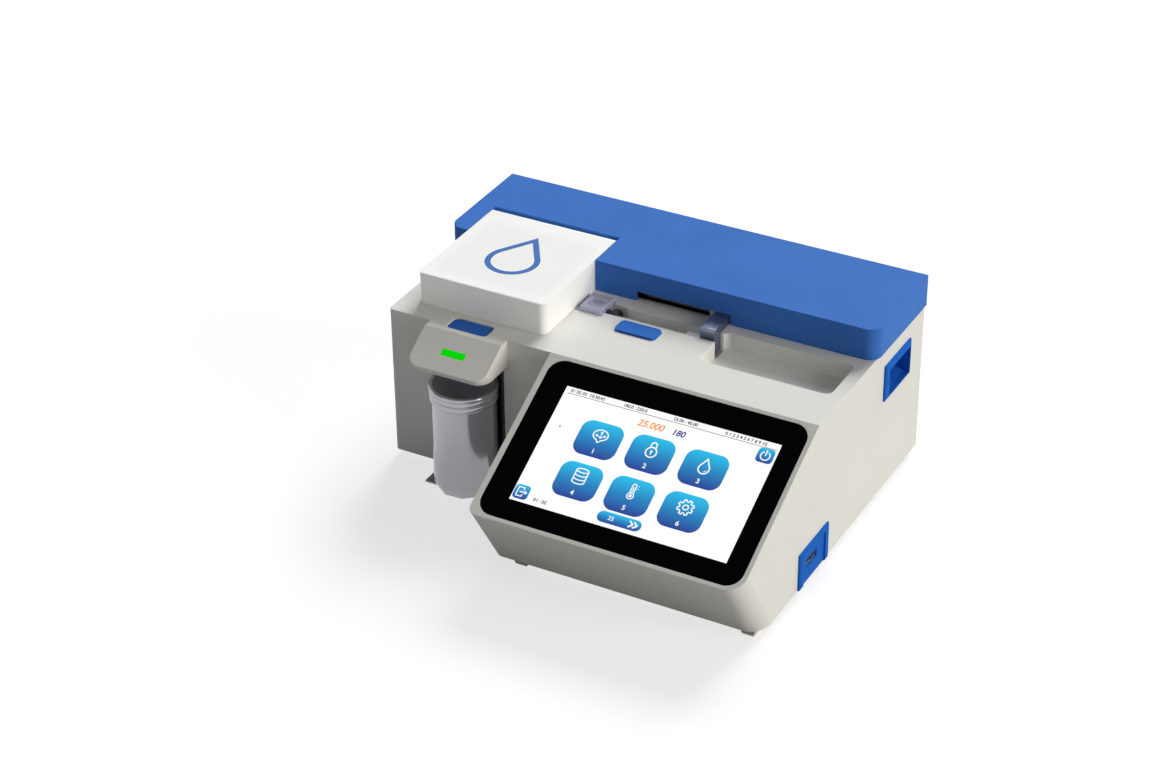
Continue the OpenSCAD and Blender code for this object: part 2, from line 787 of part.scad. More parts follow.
module top_cover() color("royalblue") place() difference() {
    translate([0, 0, deck_h]) linear_extrude(cover_h) cover_plan(0);
    translate([0, 0, deck_h - past]) linear_extrude(cover_h - cover_t + past)
        cover_plan(cover_t);
    slab(slot_left, slot_x1, -cover_d - past, -cover_d + cover_t + past, deck_h - past,
        deck_h + slot_h);
    rod_x(notch_x0 - cover_t - past, notch_x0 + past, hinge_y, hinge_z, hinge_r);
    rod_x(notch_x1 - past, notch_x1 + cover_t + past, hinge_y, hinge_z, hinge_r);
}

// Screen

module screen_glass() color("black") place() on_slope()
    translate([0, 0, -glass_t]) linear_extrude(glass_t)
        plan(glass_x0, glass_x1, glass_y0, glass_y1, [glass_r, glass_r, glass_r, glass_r]);

module display_panel() color("whitesmoke") place() on_slope()
    slab(lcd_x - lcd_w / 2, lcd_x + lcd_w / 2, lcd_y - lcd_l / 2, lcd_y + lcd_l / 2,
        -glass_t - lcd_t, -glass_t);

frame_out = ledge_w + 2;

module display_frame() color("silver") place() on_slope() difference() {
    slab(lcd_x - lcd_w / 2 - frame_out, lcd_x + lcd_w / 2 + frame_out,
        lcd_y - lcd_l / 2 - frame_out, lcd_y + lcd_l / 2 + frame_out,
        -glass_t - lcd_t - bracket_t, -wall_t);
    slab(lcd_x - lcd_w / 2 - ledge_w, lcd_x + lcd_w / 2 + ledge_w,
        lcd_y - lcd_l / 2 - ledge_w, lcd_y + lcd_l / 2 + ledge_w,
        -glass_t - lcd_t, -wall_t + past);
    for (x = [-60, -20, 20])
        slab(lcd_x + x, lcd_x + x + 30, lcd_y - 30, lcd_y + 30,
            -glass_t - lcd_t - bracket_t - past, -glass_t - lcd_t + past);
}

// Electronics

board_x0 = screen_x0 + 22;
board_x1 = board_x0 + 140;
board_y0 = -230;
board_y1 = board_y0 + 100;
board_z = base_t + 7.5;
board_t = 1.6;
board_in = 6;

module main_board() color("darkgreen") place() {
    slab(board_x0, board_x1, board_y0, board_y1, board_z, board_z + board_t);
    slab(board_x0 + 40, board_x0 + 68, board_y0 + 40, board_y0 + 68, board_z + board_t, board_z + 4);
    slab(board_x0 + 90, board_x0 + 104, board_y0 + 50, board_y0 + 70, board_z + board_t, board_z + 3);
    for (x = [12, 26, 110])
        rod_z(board_x0 + x, board_y0 + 20, board_z + board_t, board_z + 12, 5);
    slab(board_x0 + 15, board_x0 + 75, board_y1 - 10, board_y1 - 2, board_z + board_t, board_z + 10);
}

module board_standoffs() color("goldenrod") place()
    for (x = [board_x0 + board_in, board_x1 - board_in], y = [board_y0 + board_in, board_y1 - board_in])
        rod_z(x, y, base_t, board_z, 3);

psu_x0 = -inner_w + 8;
psu_y0 = -118;
psu_l = 100;
psu_d = 50;
psu_h = block_z0 - cooler_t - sink_h - base_t - 3.7;

module power_supply() color("lightgray") place() difference() {
    slab(psu_x0, psu_x0 + psu_l, psu_y0, psu_y0 + psu_d, base_t, base_t + psu_h);
    for (x = [psu_x0 + 10 : 8 : psu_x0 + psu_l - 12])
        slab(x, x + 3, psu_y0 + 8, psu_y0 + psu_d - 8, base_t + psu_h - 1.2, base_t + psu_h + past);
}

inlet_depth = 28;
cav_w = 24.2;
cav_h = 16.8;
cav_z = inlet_z + 13.4;
cav_l = 17;
rocker_w = 13;
rocker_half = 10;
rocker_z = inlet_z + 37;
rocker_in = 3;     // depth of the rocker's pivot inside the panel's outer face
rocker_tilt = 8;
pin_r = 1;

module power_inlet() color("dimgray") place() {
    difference() {
        union() {
            slab(inlet_x0, inlet_x1, -inlet_depth, 0, inlet_z, inlet_z + inlet_h);
            slab(inlet_x0 - 3, inlet_x1 + 3, 0, rear_proud, inlet_z - 3, inlet_z + inlet_h + 3);
        }
        slab(inlet_x - cav_w / 2, inlet_x + cav_w / 2, -cav_l, rear_proud + past,
            cav_z - cav_h / 2, cav_z + cav_h / 2);
        slab(inlet_x - rocker_w / 2, inlet_x + rocker_w / 2, -12, rear_proud + past,
            rocker_z - rocker_half, rocker_z + rocker_half);
        rod_x(inlet_x - rocker_w / 2 - 2, inlet_x + rocker_w / 2 + 2, -rocker_in, rocker_z,
            pin_r + run_fit);
    }
    for (p = [[-7, 0], [7, 0], [0, 4]])
        slab(inlet_x + p[0] - 1, inlet_x + p[0] + 1, -cav_l, -2, cav_z + p[1] - 2, cav_z + p[1] + 2);
}

module power_rocker() color("black") place() {
    translate([0, -rocker_in, rocker_z]) rotate([-rocker_tilt, 0, 0])
        along_x(inlet_x - rocker_w / 2 + fit, inlet_x + rocker_w / 2 - fit)
            polygon([[3, -9], [1.8, 0], [3, 9], [-4, 8], [-4, -8]]);
    rod_x(inlet_x - rocker_w / 2 - 1.8, inlet_x + rocker_w / 2 + 1.8, -rocker_in, rocker_z, pin_r);
}

hub_r = 11;
fan_axle_r = 1.5;
fan_y0 = -rear_t - fan_t;

module fan_frame() color("black") place() {
    difference() {
        slab(fan_x - fan_w / 2, fan_x + fan_w / 2, fan_y0, -rear_t, fan_z - fan_w / 2, fan_z + fan_w / 2);
        rod_y(fan_x, fan_y0 - past, -rear_t + past, fan_z, fan_bore);
    }
    rod_y(fan_x, fan_y0, fan_y0 + 2, fan_z, hub_r);
    rod_y(fan_x, fan_y0 + 2, fan_y0 + 10, fan_z, fan_axle_r);
    for (a = [45 : 90 : 315])
        translate([fan_x, fan_y0 + 1, fan_z]) rotate([0, a, 0]) slab(hub_r - 1, fan_bore + 1, -1, 1, -1.2, 1.2);
}

module fan_rotor() color("dimgray") place() translate([fan_x, fan_y0 + 2.6, fan_z]) difference() {
    union() {
        rod_y(0, 0, 10.5, 0, hub_r);
        for (k = [0 : 6])
            rotate([0, k * 360 / 7, 0]) translate([0, 5.4, 0])
                rotate([32, 0, 0]) slab(hub_r - 1, fan_bore - 1.5, -5, 5, -0.7, 0.7);
    }
    rod_y(0, -past, 8, 0, fan_axle_r + run_fit);
}

module fan_grille() color("silver") place() {
    for (r = [6 : 7 : fan_bore + 1])
        difference() {
            rod_y(fan_x, 0, rear_proud, fan_z, r + 1);
            rod_y(fan_x, -past, rear_proud + past, fan_z, r - 0.5);
        }
    for (a = [45, 135])
        translate([fan_x, 0, fan_z]) rotate([0, a, 0])
            slab(-fan_w / 2 - 5, fan_w / 2 + 5, 0, rear_proud, -1.5, 1.5);
}

module network_socket() color("lightgray") place() difference() {
    slab(net_x, net_x + net_w, -20, 0.6, net_z, net_z + net_h);
    slab(net_x + 2, net_x + net_w - 2, -13, past, net_z + 3, net_z + net_h - 2.5);
}

// Side fittings

// Frame with bevelled edges standing on a wall whose face is at X = 0
module side_frame(y0, y1, z0, z1, h, bevel) intersection() {
    along_y(y0, y1)
        polygon([[0, z0], [0, z1], [h - bevel / 2, z1], [h, z1 - bevel], [h, z0 + bevel], [h - bevel / 2, z0]]);
    linear_extrude(z1) polygon([[0, y0], [0, y1], [h - bevel / 2, y1], [h, y1 - bevel], [h, y0 + bevel],
        [h - bevel / 2, y0]]);
}

module grip() difference() {
    union() {
        side_frame(-grip_back - grip_l, -grip_back, grip_z, grip_z + grip_h, side_proud,
            grip_flange_bevel);
        slab(-grip_depth - cup_t, 0, cup_y0 - cup_t + fit, cup_y1 + cup_t - fit,
            cup_z0 - cup_t + fit, cup_z1 + cup_t - fit);
    }
    along_y(cup_y0, cup_y1)
        polygon([[side_proud + past, cup_z0], [side_proud + past, cup_z1], [-grip_depth, cup_z1],
            [-grip_depth, cup_z1 - 8], [-grip_depth / 2, cup_z0 + 3], [-2, cup_z0]]);
}

module grip_right() color("royalblue") place() translate([half_w, 0, 0]) grip();

module grip_left() color("royalblue") place() mirror([1, 0, 0]) translate([half_w, 0, 0]) grip();

module usb_bezel() color("royalblue") place() translate([half_w, 0, 0]) difference() {
    union() {
        side_frame(usb_y0, usb_y1, usb_low, usb_h, side_proud, grip_flange_bevel);
        slab(-usb_plug_l, 0, usb_y0 + usb_plug_in, usb_y1 - usb_plug_in, usb_plug_z, usb_h - usb_plug_in);
    }
    slab(usb_panel_t, side_proud + past, usb_y0 + usb_border, usb_y1 - usb_border, -past, usb_h - 3.7);
    slab(-usb_plug_l - past, past, usb_y - usb_open_w / 2, usb_y + usb_open_w / 2,
        usb_z - usb_open_h / 2, usb_z + usb_open_h / 2);
}

module usb_socket() color("silver") place() translate([half_w - usb_plug_l, usb_y, usb_z]) {
    nose = usb_plug_l - 0.2;
    difference() {
        slab(-socket_l, nose, -socket_w / 2, socket_w / 2, -socket_h / 2, socket_h / 2);
        slab(-socket_l + 1, nose + past, -socket_w / 2 + socket_t, socket_w / 2 - socket_t,
            -socket_h / 2 + socket_t, socket_h / 2 - socket_t);
    }
    slab(-socket_l + 1, nose - 3, -5.5, 5.5, 0.2, 2);
    slab(-0.5, 0, -socket_w / 2 - 1.8, -socket_w / 2, -socket_h / 2, socket_h / 2);
    slab(-0.5, 0, socket_w / 2, socket_w / 2 + 1.8, -socket_h / 2, socket_h / 2);
}

// Spout and waste line

module led_lens() color("lime") place() on_spout()
    slab(spout_x - led_w / 2 + 0.1, spout_x + led_w / 2 - 0.1, -led_down - led_h / 2 + 0.1,
        -led_down + led_h / 2 - 0.1, -spout_t, 0.1);

module led_board() color("darkgreen") place() on_spout()
    slab(spout_x - led_w / 2 - 3, spout_x + led_w / 2 + 3, -led_down - led_h / 2 - 2.5,
        -led_down + led_h / 2 + 2.5, -spout_t - 1.2, -spout_t);

module waste_nozzle() color("black") place() difference() {
    union() {
        rod_z(spout_x, bottle_y, spout_z0 - nozzle_drop, spout_z0, nozzle_r);
        rod_z(spout_x, bottle_y, spout_z0 - past, spout_z0 + spout_t + 1.5, nozzle_r / 2);
    }
    rod_z(spout_x, bottle_y, spout_z0 - nozzle_drop - past, spout_z0 + spout_t + 3, tube_r);
}

tube_x = spout_x1 - spout_t - 4.2;
tube_z = spout_z0 + spout_t + 6;
bend_r = 4;
tube_y = stack_y - 13;

// Quarter bend in a plane, from the +X direction round to +Y
module bend() rotate_extrude(angle = 90) translate([bend_r, 0]) circle(tube_r, $fn = 24);

module waste_tube() color("lightcyan") place() {
    rod_x(carrier_x1, tube_x - bend_r, tube_y, tube_z, tube_r);
    translate([tube_x - bend_r, tube_y - bend_r, tube_z]) bend();
    rod_y(tube_x, bottle_y + bend_r, tube_y - bend_r, tube_z, tube_r);
    translate([tube_x - bend_r, bottle_y + bend_r, tube_z]) rotate([0, 0, -90]) bend();
    rod_x(spout_x + bend_r, tube_x - bend_r, bottle_y, tube_z, tube_r);
    translate([spout_x + bend_r, bottle_y, tube_z - bend_r]) rotate([90, 0, 0]) rotate([0, 0, 90]) bend();
    rod_z(spout_x, bottle_y, spout_z0 - nozzle_drop - 2, tube_z - bend_r, tube_r);
}

module bottle_cradle() color("black") place() difference() {
    slab(pocket_x0 + fit, pocket_x1 - fit, -deck_d, pocket_y1 - fit, fit, spout_z0 - fit);
    rod_z(spout_x, bottle_y, -past, spout_z0 + past, cradle_r);
}

shelf_w = 53;
shelf_front = 11.3;
shelf_tab = 26;

module bottle_shelf() color("slategray") place() {
    x0 = spout_x - shelf_w / 2;
    x1 = spout_x + shelf_w / 2;
    riser = pocket_y1 + pocket_t + 1.5;
    slab(x0, x1, bottle_y - shelf_front, riser, shelf_z - shelf_t, shelf_z);
    slab(x0, x1, riser - shelf_t, riser, shelf_z - shelf_t, 0);
    slab(x0, x1, riser - shelf_t, riser + shelf_tab, -shelf_t, 0);
}

thread_r = rim_r - 0.4;

module waste_bottle() color("lightsteelblue") place() translate([spout_x, bottle_y, shelf_z])
    rotate_extrude($fn = 96) polygon([
        [0, 0], [bottle_r - 2.6, 0], [bottle_r, 6.5],
        [bottle_r, bottle_h - 11.8], [rim_r - 1, bottle_h - 10.6],
        [thread_r, bottle_h - 9.6], [thread_r, bottle_h - 8], [bottle_r + 0.2, bottle_h - 7],
        [bottle_r + 0.2, bottle_h - 6.2], [thread_r, bottle_h - 5.2], [thread_r, bottle_h - 3.8],
        [bottle_r + 0.4, bottle_h - 3], [bottle_r + 0.4, bottle_h - 2.4], [rim_r, bottle_h - 1.6],
        [rim_r, bottle_h], [bottle_r - bottle_t, bottle_h], [bottle_r - bottle_t, 8],
        [bottle_r - bottle_t - 2.4, 2], [0, 2]]);

// Chip bay

module chip_bay() color("dimgray") place() difference() {
    union() {
        slab(bay_x0, bay_x1, bay_y0, bay_y1, bay_z0, deck_h + rim_t);
        slab(bay_x0 - bay_rim, bay_x1 + bay_rim, bay_y0 - bay_rim, bay_y1 + bay_rim,
            deck_h, deck_h + rim_t);
    }
    slab(bay_x0 + bay_t, bay_x1 - bay_t, bay_y0 + bay_t, bay_y1 - bay_t, bay_floor, deck_h + rim_t + past);
    slab(stack_x - block_w / 2 - 1, stack_x + block_w / 2 + 1, stack_y - block_w / 2 - 1,
        stack_y + block_w / 2 + 1, bay_z0 - past, bay_floor + past);
    slab(bay_x1 - bay_t - past, bay_x1 + bay_rim + past, holder_y0 - holder_gap,
        holder_y1 + holder_gap, channel_z, deck_h + rim_t + past);
    rod_y(tube_x, bay_y0 - past, bay_y0 + bay_t + past, tube_z, tube_r + fit);
}

module thermal_block() color("silver") place() {
    slab(stack_x - block_w / 2, stack_x + block_w / 2, stack_y - block_w / 2, stack_y + block_w / 2,
        block_z0, block_top);
    slab(stack_x - block_w / 2 - 3, stack_x + block_w / 2 + 3, stack_y - block_w / 2 - 3,
        stack_y + block_w / 2 + 3, bay_floor, bay_floor + 4);
}

module thermoelectric_cooler() color("white") place()
    slab(stack_x - 20, stack_x + 20, stack_y - 20, stack_y + 20, block_z0 - cooler_t, block_z0);

module heat_sink() color("gray") place() {
    base = 5;
    z1 = block_z0 - cooler_t;
    slab(stack_x - sink_w / 2, stack_x + sink_w / 2, stack_y - sink_w / 2, stack_y + sink_w / 2,
        z1 - base, z1);
    for (k = [0 : 8])
        translate([stack_x - sink_w / 2 + k * (sink_w - 1.6) / 8, stack_y - sink_w / 2, z1 - sink_h])
            cube([1.6, sink_w, sink_h]);
}

module chip_carrier() color("darkgray") place() difference() {
    slab(carrier_x0, carrier_x1, stack_y - carrier_half, stack_y + carrier_half, block_top, carrier_top);
    slab(stack_x - chip_l / 2 - 0.1, stack_x + chip_l / 2 + 0.1, stack_y - chip_w / 2 - 0.1,
        stack_y + chip_w / 2 + 0.1, carrier_top - chip_t, carrier_top + past);
    rod_x(tip_x0 - 0.5, carrier_x1 + past, pip_y, pip_z, tip_r + run_fit);
}

module sensor_chip() color("lightskyblue") place()
    slab(stack_x - chip_l / 2, stack_x + chip_l / 2, stack_y - chip_w / 2, stack_y + chip_w / 2,
        carrier_top - chip_t, carrier_top);

module chip_clamp() color("silver") place() difference() {
    slab(carrier_x0 + 2, carrier_x1 - 2, stack_y - carrier_half + 2, stack_y + carrier_half - 2,
        carrier_top, carrier_top + clamp_t);
    slab(stack_x - chip_l / 2 + 2, stack_x + chip_l / 2 - 2, stack_y - chip_w / 2 + 1.5,
        stack_y + chip_w / 2 - 1.5, carrier_top - past, carrier_top + clamp_t + past);
}

// Lid

module lid_profile(top_r) {
    polygon([[lid_y0, lid_z0], [lid_y1 - 8, lid_z0], [lid_y1 - 8, lid_z0 + 2], [lid_y1, lid_z0 + 2],
        [lid_y1, hinge_z], [hinge_y, lid_z1], [lid_y0 + top_r, lid_z1], [lid_y0, lid_z1 - top_r]]);
    translate([hinge_y, hinge_z]) circle(hinge_in);
    translate([lid_y0 + top_r, lid_z1 - top_r]) circle(top_r);
}

module lid_shell() color("white", 0.9) place() difference() {
    intersection() {
        translate([0, 0, deck_h]) linear_extrude(cover_h)
            plan(lid_x0, lid_x1, lid_y0, lid_y1, [lid_r, lid_r, 1, 1]);
        along_x(lid_x0, lid_x1) lid_profile(1);
    }
    difference() {
        translate([0, 0, deck_h]) linear_extrude(cover_h - lid_t)
            plan(lid_x0 + lid_t, lid_x1 - lid_t, lid_y0 + lid_t, lid_y1 - lid_t,
                [lid_r - lid_t / 2, lid_r - lid_t / 2, 1, 1]);
        rod_x(lid_x0, lid_x0 + 8, hinge_y, hinge_z, boss_r);
        rod_x(lid_x1 - 8, lid_x1, hinge_y, hinge_z, boss_r);
        slab(lid_x0, lid_x1, hinge_y, lid_y1, hinge_z, lid_z1);
    }
    rod_x(lid_x0 - past, lid_x1 + past, hinge_y, hinge_z, hinge_r + run_fit);
}

insert_t = 14;

module lid_insert() color("slategray") place()
    soft_slab(lid_x0 + 7, lid_x1 - 7, lid_y0 + 12, lid_y1 - 16, lid_z1 - lid_t - insert_t,
        lid_z1 - lid_t, 4);

module lid_latch() color("lightsteelblue") place() {
    y0 = lid_y0 + lid_t;
    slab(latch_x - latch_half, latch_x + latch_half, y0, latch_y1, latch_z1 - latch_bridge, latch_z1);
    for (x = [latch_x - latch_half, latch_x + latch_half - prong_w]) {
        slab(x, x + prong_w, y0, latch_y1, prong_z0, latch_z1);
        slab(x, x + prong_w, latch_y1 - 0.5, latch_y1 + 1.2, prong_z0, prong_z0 + 2);
    }
}

pin_l = 12;

module lid_hinge_pins() color("silver") place() {
    rod_x(notch_x0 - cover_t - 1.5, notch_x0 - cover_t - 1.5 + pin_l, hinge_y, hinge_z, hinge_r);
    rod_x(notch_x1 + cover_t + 1.5 - pin_l, notch_x1 + cover_t + 1.5, hinge_y, hinge_z, hinge_r);
}

// Buttons

module button(k) {
    x = button_x[k];
    y = button_y[k];
    soft_slab(x - button_w / 2, x + button_w / 2, y - button_d / 2, y + button_d / 2,
        flange_z0, button_top[k], button_r);
    slab(x - button_w / 2 - flange_out, x + button_w / 2 + flange_out, y - button_d / 2,
        y + button_d / 2, flange_z0, flange_z1);
    rod_z(x, y, bracket_z0 - stem_below, flange_z0 + 0.5, stem_r);
}

module lid_button() color("mediumblue") place() button(0);

module pipette_button() color("mediumblue") place() button(1);

module button_brackets() color("silver") place()
    for (k = [0, 1])
        translate([button_x[k], button_y[k], 0]) difference() {
            union() {
                slab(-bracket_half, bracket_half, -bracket_d / 2, bracket_d / 2, bracket_z0, bracket_z1);
                for (s = [-1, 1])
                    translate([s * (bracket_half - post_w / 2), 0, 0])
                        slab(-post_w / 2, post_w / 2, -bracket_d / 2, bracket_d / 2, bracket_z0, inner_h);
            }
            rod_z(0, 0, bracket_z0 - past, bracket_z1 + past, stem_r + run_fit);
        }

spring_sides = 8;
rings_per_turn = 14;

function spring_ring(a, z) = [
    for (s = [0 : spring_sides - 1])
        let (w = s * 360 / spring_sides, r = spring_r + wire_r * cos(w))
        [r * cos(a), r * sin(a), z + wire_r * sin(w)]];

// Helical spring standing between two heights, as one swept tube
module spring(z0, z1) {
    rings = spring_turns * rings_per_turn;
    climb = z1 - z0 - 2 * wire_r;
    points = [
        for (i = [0 : rings])
            each spring_ring(i * 360 / rings_per_turn, z0 + wire_r + climb * i / rings)];
    sides = [
        for (i = [0 : rings - 1], s = [0 : spring_sides - 1])
            let (n = (s + 1) % spring_sides)
            [i * spring_sides + s, i * spring_sides + n, (i + 1) * spring_sides + n,
                (i + 1) * spring_sides + s]];
    first = [[for (s = [spring_sides - 1 : -1 : 0]) s]];
    last = [[for (s = [0 : spring_sides - 1]) rings * spring_sides + s]];
    polyhedron(points = points, faces = concat(sides, first, last), convexity = 6);
}

module lid_button_spring() color("silver") place()
    translate([button_x[0], button_y[0], 0]) spring(bracket_z1, flange_z0);

module pipette_button_spring() color("silver") place()
    translate([button_x[1], button_y[1], 0]) spring(bracket_z1, flange_z0);

// Pipette

module pipette_barrel() color("white", 0.5) place()
    translate([barrel_x0, pip_y, pip_z]) rotate([0, 90, 0]) rotate_extrude() {
        l = holder_x1 - barrel_x0;
        nose = 4;
        tip = tip_x0 - barrel_x0;
        polygon([[0.5, tip], [tip_r, tip], [tip_r, -nose], [barrel_r, 0], [barrel_r, l],
            [barrel_bore, l], [barrel_bore, 1.4], [0.5, -1.6]]);
    }

module pipette_block() color("mediumpurple", 0.6) place() difference() {
    union() {
        slab(holder_x0, holder_x1, holder_y0, holder_y1, channel_z, deck_h + holder_top);
        slab(holder_x0 - 8, holder_x1 + 1, holder_y0 - 0.6, holder_y0 + 4, channel_z, deck_h - 0.3);
    }
    slab(holder_x0 + 3, holder_x1 - 2.4, holder_y0 + 5, holder_y1 - 5, deck_h + 1, deck_h + holder_top + past);
    rod_x(holder_x0 - past, holder_x1 + 2, pip_y, pip_z, barrel_r);
}

module pipette_collar() color("black") place() difference() {
    union() {
        rod_x(holder_x1, collar_x0, pip_y, pip_z, barrel_r - 0.5);
        rod_x(collar_x0, collar_x1, pip_y, pip_z, collar_r);
        slab(collar_x0 + 1, collar_x1 - 1, pip_y - 4, pip_y + 4, channel_z, pip_z - rod_r - 1);
    }
    rod_x(holder_x1 - past, collar_x1 + past, pip_y, pip_z, rod_r + run_fit);
}

module pipette_plunger() color("white", 0.6) place() {
    pad_x0 = plunger_x1 - pad_l;
    rib_l = pad_l / 6;
    rod_x(piston_x0, piston_x0 + piston_l, pip_y, pip_z, barrel_bore - run_fit);
    rod_x(piston_x0, pad_x0 + 1, pip_y, pip_z, rod_r);
    rod_x(pad_x0, plunger_x1, pip_y, pip_z, pad_r - 0.8);
    for (k = [0 : 5])
        rod_x(pad_x0 + k * rib_l, pad_x0 + k * rib_l + rib_l / 2, pip_y, pip_z, pad_r);
    rod_x(plunger_x1 - 0.8, plunger_x1, pip_y, pip_z, pad_r);
}

// Pusher drive

module drive_frame() color("silver") place() difference() {
    union() {
        slab(frame_x0, frame_x1, drive_y - frame_half, drive_y + frame_half, tray_z, tray_z + frame_base);
        slab(frame_x0, frame_x0 + frame_t, drive_y - frame_half, drive_y + frame_half, tray_z, frame_z1);
        slab(frame_x1 - frame_t, frame_x1, drive_y - frame_half, drive_y + frame_half, tray_z, frame_z1);
    }
    for (s = [-1, 1])
        rod_x(frame_x0 - past, frame_x1 + past, drive_y + s * guide_off, drive_z, guide_r);
    rod_x(frame_x0 - past, frame_x0 + frame_t + past, drive_y, drive_z, bearing_r);
    rod_x(frame_x1 - frame_t - past, frame_x1 + past, drive_y, drive_z, shaft_r + 1);
}

module guide_rods() color("lightgray") place()
    for (s = [-1, 1])
        rod_x(frame_x0, frame_x1, drive_y + s * guide_off, drive_z, guide_r);

module screw_bearing() color("silver") place() difference() {
    rod_x(frame_x0, frame_x0 + frame_t, drive_y, drive_z, bearing_r);
    rod_x(frame_x0 - past, frame_x0 + frame_t + past, drive_y, drive_z, journal_r + run_fit);
}

module lead_screw() color("lightgray") place() {
    rod_x(frame_x0 + 0.5, frame_x0 + frame_t + 0.6, drive_y, drive_z, journal_r);
    rod_x(frame_x0 + frame_t + 0.5, coupler_x0 + 4, drive_y, drive_z, screw_r);
    rod_x(coupler_x0 + 4, coupler_x0 + 8, drive_y, drive_z, journal_r);
}

module motor_coupler() color("gray") place() difference() {
    union() {
        rod_x(coupler_x0, coupler_x1, drive_y, drive_z, coupler_r);
        rod_x(coupler_x1 - 6, frame_x1 + shaft_in, drive_y, drive_z, shaft_r);
    }
    rod_x(coupler_x0 - past, coupler_x0 + 4, drive_y, drive_z, screw_r);
    rod_x(coupler_x0 + 3, coupler_x0 + 8, drive_y, drive_z, journal_r);
}

module stepper_motor() color("dimgray") place() difference() {
    along_x(frame_x1, frame_x1 + motor_l)
        translate([drive_y, drive_z]) plan(-motor_w / 2, motor_w / 2, -motor_w / 2, motor_w / 2, [3, 3, 3, 3]);
    rod_x(frame_x1 - past, frame_x1 + shaft_in + 1, drive_y, drive_z, shaft_r + run_fit);
}

module limit_switch() color("black") place() {
    x0 = block_x0 + block_l + 3;
    slab(x0, x0 + 10, drive_y + 8, drive_y + 14, tray_z + frame_base, drive_z - 7);
}

module carriage_block() color("lightslategray") place() difference() {
    slab(block_x0, block_x0 + block_l, drive_y - block_half, drive_y + block_half,
        drive_z - block_low, drive_z + block_high);
    for (s = [-1, 1]) {
        rod_x(block_x0 - past, block_x0 + block_l + past, drive_y + s * guide_off, drive_z, guide_r + 0.5);
        rod_x(block_x0 - past, block_x0 + bush_l, drive_y + s * guide_off, drive_z, bush_r);
        rod_x(block_x0 + block_l - bush_l, block_x0 + block_l + past, drive_y + s * guide_off,
            drive_z, bush_r);
    }
    rod_x(block_x0 - past, block_x0 + block_l + past, drive_y, drive_z, nut_r);
}

module carriage_bushes() color("goldenrod") place()
    for (s = [-1, 1], x = [block_x0, block_x0 + block_l - bush_l])
        difference() {
            rod_x(x, x + bush_l, drive_y + s * guide_off, drive_z, bush_r);
            rod_x(x - past, x + bush_l + past, drive_y + s * guide_off, drive_z, guide_r + run_fit);
        }

module drive_nut() color("goldenrod") place() difference() {
    union() {
        rod_x(block_x0, block_x0 + block_l * 0.7, drive_y, drive_z, nut_r);
        rod_x(block_x0 - nut_flange_t, block_x0, drive_y, drive_z, nut_flange_r);
    }
    rod_x(block_x0 - nut_flange_t - past, block_x0 + block_l, drive_y, drive_z, screw_r + run_fit);
}

module pusher() color("slategray") place() {
    x0 = pusher_left;
    x1 = pusher_left + pusher_w;
    arm_back = drive_y - block_half;
    face = pip_y - head_reach;
    difference() {
        union() {
            along_x(x0, x1) {
                polygon([[arm_back, arm_z0], [arm_back, arm_z1], [face + arm_r, arm_z1],
                    [face, arm_z1 - arm_r], [face, arm_z0]]);
                translate([face + arm_r, arm_z1 - arm_r]) circle(arm_r);
            }
            slab(x0, x1, face, channel_y1 - 0.4, head_z0 + 4, arm_z0 + 0.5);
            along_x(x1 - fin_t, x1) {
                polygon([[face, head_z0 + 2.5], [face + 2.5, head_z0], [channel_y1 - 0.4, head_z0],
                    [channel_y1 - 0.4, arm_z0], [face, arm_z0]]);
                translate([face + 2.5, head_z0 + 2.5]) circle(2.5);
            }
        }
        slab(x0 + 2, x1 - fin_t, face + 1.5, channel_y1, head_z0, arm_z0 - 1.5);
    }
}

housing();
base_plate();
rear_panel();
feet();
housing_screws();
top_cover();
screen_glass();
display_panel();
display_frame();
main_board();
board_standoffs();
power_supply();
power_inlet();
power_rocker();
fan_frame();
fan_rotor();
fan_grille();
network_socket();
grip_right();
grip_left();
usb_bezel();
usb_socket();
led_lens();
led_board();
waste_nozzle();
waste_tube();
bottle_cradle();
bottle_shelf();
waste_bottle();
chip_bay();
thermal_block();
thermoelectric_cooler();
heat_sink();
chip_carrier();
sensor_chip();
chip_clamp();
lid_shell();
lid_insert();
lid_latch();
lid_hinge_pins();
lid_button();
pipette_button();
button_brackets();
lid_button_spring();
pipette_button_spring();
pipette_barrel();
pipette_block();
pipette_collar();
pipette_plunger();
drive_frame();
guide_rods();
screw_bearing();
lead_screw();
motor_coupler();
stepper_motor();
limit_switch();
carriage_block();
carriage_bushes();
drive_nut();
pusher();
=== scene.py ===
import json
import math

import bmesh
import bpy
from mathutils import Matrix, Vector


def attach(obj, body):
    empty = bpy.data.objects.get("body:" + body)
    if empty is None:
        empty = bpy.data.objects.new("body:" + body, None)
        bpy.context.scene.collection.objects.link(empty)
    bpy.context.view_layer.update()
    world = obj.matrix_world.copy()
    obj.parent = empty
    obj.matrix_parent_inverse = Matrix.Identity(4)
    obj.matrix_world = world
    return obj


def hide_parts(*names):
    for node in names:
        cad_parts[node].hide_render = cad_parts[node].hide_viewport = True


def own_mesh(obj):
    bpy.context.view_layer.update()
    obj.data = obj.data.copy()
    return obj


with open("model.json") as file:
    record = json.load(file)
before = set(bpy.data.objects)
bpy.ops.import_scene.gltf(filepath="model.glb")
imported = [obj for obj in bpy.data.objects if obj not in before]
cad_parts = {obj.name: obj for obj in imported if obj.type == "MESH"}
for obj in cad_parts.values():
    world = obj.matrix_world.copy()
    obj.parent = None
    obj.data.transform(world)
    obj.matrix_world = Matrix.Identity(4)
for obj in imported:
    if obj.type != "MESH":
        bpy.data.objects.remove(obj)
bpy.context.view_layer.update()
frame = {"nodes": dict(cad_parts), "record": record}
NODES = frame["nodes"]

